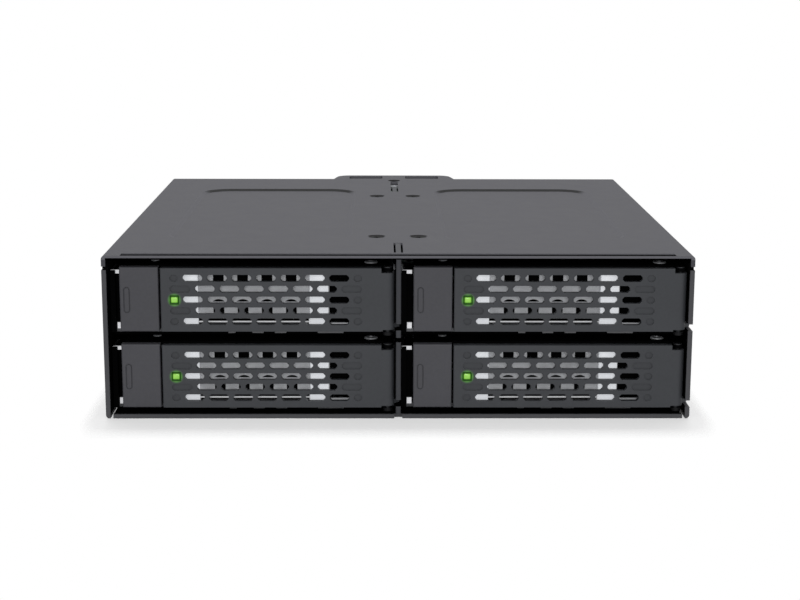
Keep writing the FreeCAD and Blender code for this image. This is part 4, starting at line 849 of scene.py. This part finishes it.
def boardParts():
    ceramic = {"length": 1.6 * mm, "width": 0.85 * mm, "height": 0.7 * mm, "cap": 0.35 * mm, "body": 2}
    resistor = {**ceramic, "height": 0.45 * mm, "body": 0}
    package = {"size": 5.0 * mm, "height": 1.1 * mm, "legs": 7, "pitch": 0.65 * mm, "leg": 0.13 * mm,
               "reach": 0.75 * mm}
    can = {"radius": 2.1 * mm, "tall": 4.6 * mm, "base": 0.9 * mm}
    low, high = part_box("backplane_board")
    back, front = high.y, low.y
    bm = bmesh.new()
    places = {"cans": (-45.5, -39.8), "lowRow": 5.6, "chips": (-31.2, 44.0), "smallChip": 3.6,
              "upperRow": (29.0, 2.9, 20.2), "lowerRow": (30.5, 3.6, 10.6), "outerRow": (51.0, 3.1, 20.4),
              "socketRow": (4.6, 3.0, 1.6), "pinRow": (5.2, 1.45, 0.9), "pinRadius": 0.24,
              "upperFrom": 12, "plugSpan": (28, 47)}  # in millimetres
    for x in places["cans"]:
        canister(bm, x * mm, places["lowRow"] * mm, back, can)
    chip(bm, places["chips"][0] * mm, places["lowRow"] * mm, back, package)
    chip(bm, places["chips"][1] * mm, places["lowRow"] * mm, back,
         {**package, "size": places["smallChip"] * mm, "legs": 5})
    for side in (-1, 1):
        for number in range(7):
            start, step, z = places["upperRow"]
            look = resistor if number % 3 else ceramic
            smallPart(bm, side * (start + number * step) * mm, z * mm, back, 1, look, number % 2 == 1)
            start, step, z = places["lowerRow"]
            look = ceramic if number % 2 else resistor
            smallPart(bm, side * (start + number * step) * mm, z * mm, back, 1, look)
    start, step, z = places["outerRow"]
    for side in (-1, 1):
        for number in range(4):
            smallPart(bm, side * (start + number * step) * mm, z * mm, back, 1, ceramic)
    for tray in trays:
        near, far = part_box(f"drive_socket_{tray}")
        start, step, rise = places["socketRow"]
        for number in range(12):
            x = near.x + start * mm + number * step * mm
            look = resistor if number % 2 else ceramic
            smallPart(bm, x, far.z + rise * mm, front, -1, look, number % 3 == 0)
        start, step, drop = places["pinRow"]
        for number in range(22):
            x = near.x + start * mm + number * step * mm
            behindPlug = places["plugSpan"][0] < abs(x) / mm < places["plugSpan"][1]
            if near.z > places["upperFrom"] * mm or not behindPlug:
                solderedPin(bm, x, near.z - drop * mm, back, places["pinRadius"] * mm)
    return asPiece("boardParts", bm, "cage", boardSlots)


boardParts()
print("board parts placed")


# two leads from the fan to its plug on the board
leadRed = mouldedPlastic("leadRed", {**plasticLook, "colour": shade(152, 28, 26),
                                     "wornLitEdgeColour": shade(180, 60, 56)})
leadBlack = mouldedPlastic("leadBlack", {**blackLook, "colour": shade(24, 24, 26)})
plugWhite = mouldedPlastic("plugWhite", {**plasticLook, "colour": shade(214, 210, 198),
                                         "wornLitEdgeColour": shade(232, 230, 222)})


def fanLead(name, points, finish, radius):
    curve = bpy.data.curves.new(name, "CURVE")
    curve.dimensions = "3D"
    curve.bevel_depth = radius
    curve.bevel_resolution = 4
    curve.resolution_u = 10
    line = curve.splines.new("NURBS")
    line.points.add(len(points) - 1)
    for point, place in zip(line.points, points):
        point.co = (*(part * mm for part in place), 1.0)
    line.order_u = 4
    line.use_endpoint_u = True
    shape = bpy.data.objects.new(name, curve)
    bpy.context.scene.collection.objects.link(shape)
    bpy.context.view_layer.update()
    mesh = bpy.data.meshes.new_from_object(shape.evaluated_get(bpy.context.evaluated_depsgraph_get()))
    bpy.data.objects.remove(shape)
    bm = bmesh.new()
    bm.from_mesh(mesh)
    bmesh.ops.remove_doubles(bm, verts=bm.verts, dist=0.001 * mm)
    for face in bm.faces:
        face.material_index = 0
    return asPiece(name, bm, "cage", [finish, "fan_frame_plastic"], sharp=60)


def fanPlug():
    look = {"x": 26.2 * mm, "z": 6.4 * mm, "half": 1.9 * mm, "deep": 3.4 * mm, "rise": 1.35 * mm,
            "wall": 0.45 * mm, "rounding": 0.14 * mm}
    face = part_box("backplane_board")[1].y
    bm = bmesh.new()
    x, z, half, rise, far = look["x"], look["z"], look["half"], look["rise"], face + look["deep"]
    bar(bm, (x - half, face - 0.01 * mm, z - rise), (x + half, far, z + rise), look["rounding"], 0)
    bar(bm, (x - half * 0.5, face, z + rise - look["wall"]),
        (x + half * 0.5, far + 0.5 * mm, z + rise + look["wall"]), look["rounding"], 0)
    for side in (-1, 1):
        bar(bm, (x + side * 0.8 * mm - 0.4 * mm, far - 0.3 * mm, z - 0.5 * mm),
            (x + side * 0.8 * mm + 0.4 * mm, far + 0.15 * mm, z + 0.5 * mm), 0.1 * mm, 1)
    return asPiece("fanPlug", bm, "cage", [plugWhite, leadBlack, "connector_plastic"])


fanPlug()
fanLead("fanLeadRed", [(19.6, 72.6, 4.4), (21.4, 72.4, 4.4), (24.9, 70.4, 4.2), (25.4, 64.5, 3.4),
                       (25.3, 58.0, 4.6), (25.4, 55.6, 6.3), (25.4, 53.2, 6.4)], leadRed, 0.42 * mm)
fanLead("fanLeadBlack", [(19.6, 71.4, 3.4), (21.4, 71.2, 3.3), (25.6, 69.4, 2.6), (26.4, 63.5, 2.2),
                         (26.8, 57.6, 4.2), (27.0, 55.4, 6.2), (27.0, 53.2, 6.4)], leadBlack, 0.42 * mm)
print("fan wired")


# floor, light and camera
def studioFloor(look):
    mesh = bpy.data.meshes.new("studioFloor")
    bm = bmesh.new()
    bmesh.ops.create_grid(bm, x_segments=8, y_segments=8, size=look["size"])
    bm.to_mesh(mesh)
    bm.free()
    floor = bpy.data.objects.new("studioFloor", mesh)
    bpy.context.scene.collection.objects.link(floor)
    finish, tree, shader, place = startFinish("floorWhite")
    wire(tree, shader, {"Base Color": look["colour"], "Roughness": 0.5})
    sides = add(tree, "SeparateXYZ", {0: place}).outputs
    outX = maths(tree, "SUBTRACT", maths(tree, "ABSOLUTE", sides["X"]), look["halfX"])
    outX = maths(tree, "MAXIMUM", outX, 0.0)
    outY = maths(tree, "SUBTRACT", maths(tree, "ABSOLUTE", sides["Y"]), look["halfY"])
    outY = maths(tree, "MAXIMUM", outY, 0.0)
    reach = add(tree, "CombineXYZ", {0: maths(tree, "MULTIPLY", outX, look["narrow"]), 1: outY}).outputs[0]
    reach = add(tree, "VectorMath", {0: reach}, operation="LENGTH").outputs["Value"]
    clear = add(tree, "BsdfTransparent")
    fade = add(tree, "MixShader")
    plug(tree, fade.inputs[0], spread(tree, reach, look["fadeStart"], look["fadeEnd"], look["clear"], 1.0))
    tree.links.new(shader.outputs[0], fade.inputs[1])
    tree.links.new(clear.outputs[0], fade.inputs[2])
    tree.links.new(fade.outputs[0], tree.nodes["Material Output"].inputs["Surface"])
    mesh.materials.append(finish)


def softBox(name, look):
    light = bpy.data.lights.new(name, "AREA")
    light.shape = "RECTANGLE"
    light.size = look["width"]
    light.size_y = look["depth"]
    light.energy = look["power"]
    lamp = bpy.data.objects.new(name, light)
    lamp.location = look["place"]
    lamp.rotation_euler = (Vector(look["aim"]) - Vector(look["place"])).to_track_quat("-Z", "Y").to_euler()
    bpy.context.scene.collection.objects.link(lamp)


def whiteRoom(strength):
    world = bpy.data.worlds.new("whiteRoom")
    bpy.context.scene.world = world
    world.use_nodes = True
    tree = world.node_tree
    paths = add(tree, "LightPath").outputs
    seen = maths(tree, "MAXIMUM", paths["Is Camera Ray"], paths["Is Transmission Ray"])
    plug(tree, tree.nodes["Background"].inputs["Color"], (1.0, 1.0, 1.0, 1.0))
    plug(tree, tree.nodes["Background"].inputs["Strength"], spread(tree, seen, 0.0, 1.0, strength, 1.0))


def viewCamera(look):
    camera = bpy.data.cameras.new("viewCamera")
    camera.lens = look["lens"]
    camera.sensor_width = 36.0
    camera.clip_start = 0.01
    camera.clip_end = 50.0
    view = bpy.data.objects.new("viewCamera", camera)
    view.location = look["place"]
    view.rotation_euler = [math.radians(turn) for turn in look["turn"]]
    bpy.context.scene.collection.objects.link(view)
    bpy.context.scene.camera = view


studioFloor({"size": 0.6, "colour": (0.93, 0.93, 0.935, 1.0), "halfX": 0.073, "halfY": 0.076, "narrow": 3.0,
             "fadeStart": 0.009, "fadeEnd": 0.018, "clear": 0.52})
softBox("topBox", {"width": 0.9, "depth": 0.9, "power": 7.0, "place": (0.0, 0.4, 0.9),
                   "aim": (0.0, 0.0, 0.0)})
softBox("frontBox", {"width": 0.3, "depth": 0.3, "power": 2.4, "place": (-0.02, -1.2, 0.3),
                     "aim": (0.0, -0.05, 0.02)})
whiteRoom(0.55)
viewCamera({"place": (-0.00469, -0.47443, 0.11326), "turn": (78.236, -0.173, -0.687), "lens": 74.249})
bpy.context.scene.view_settings.view_transform = "Standard"
print("studio ready")
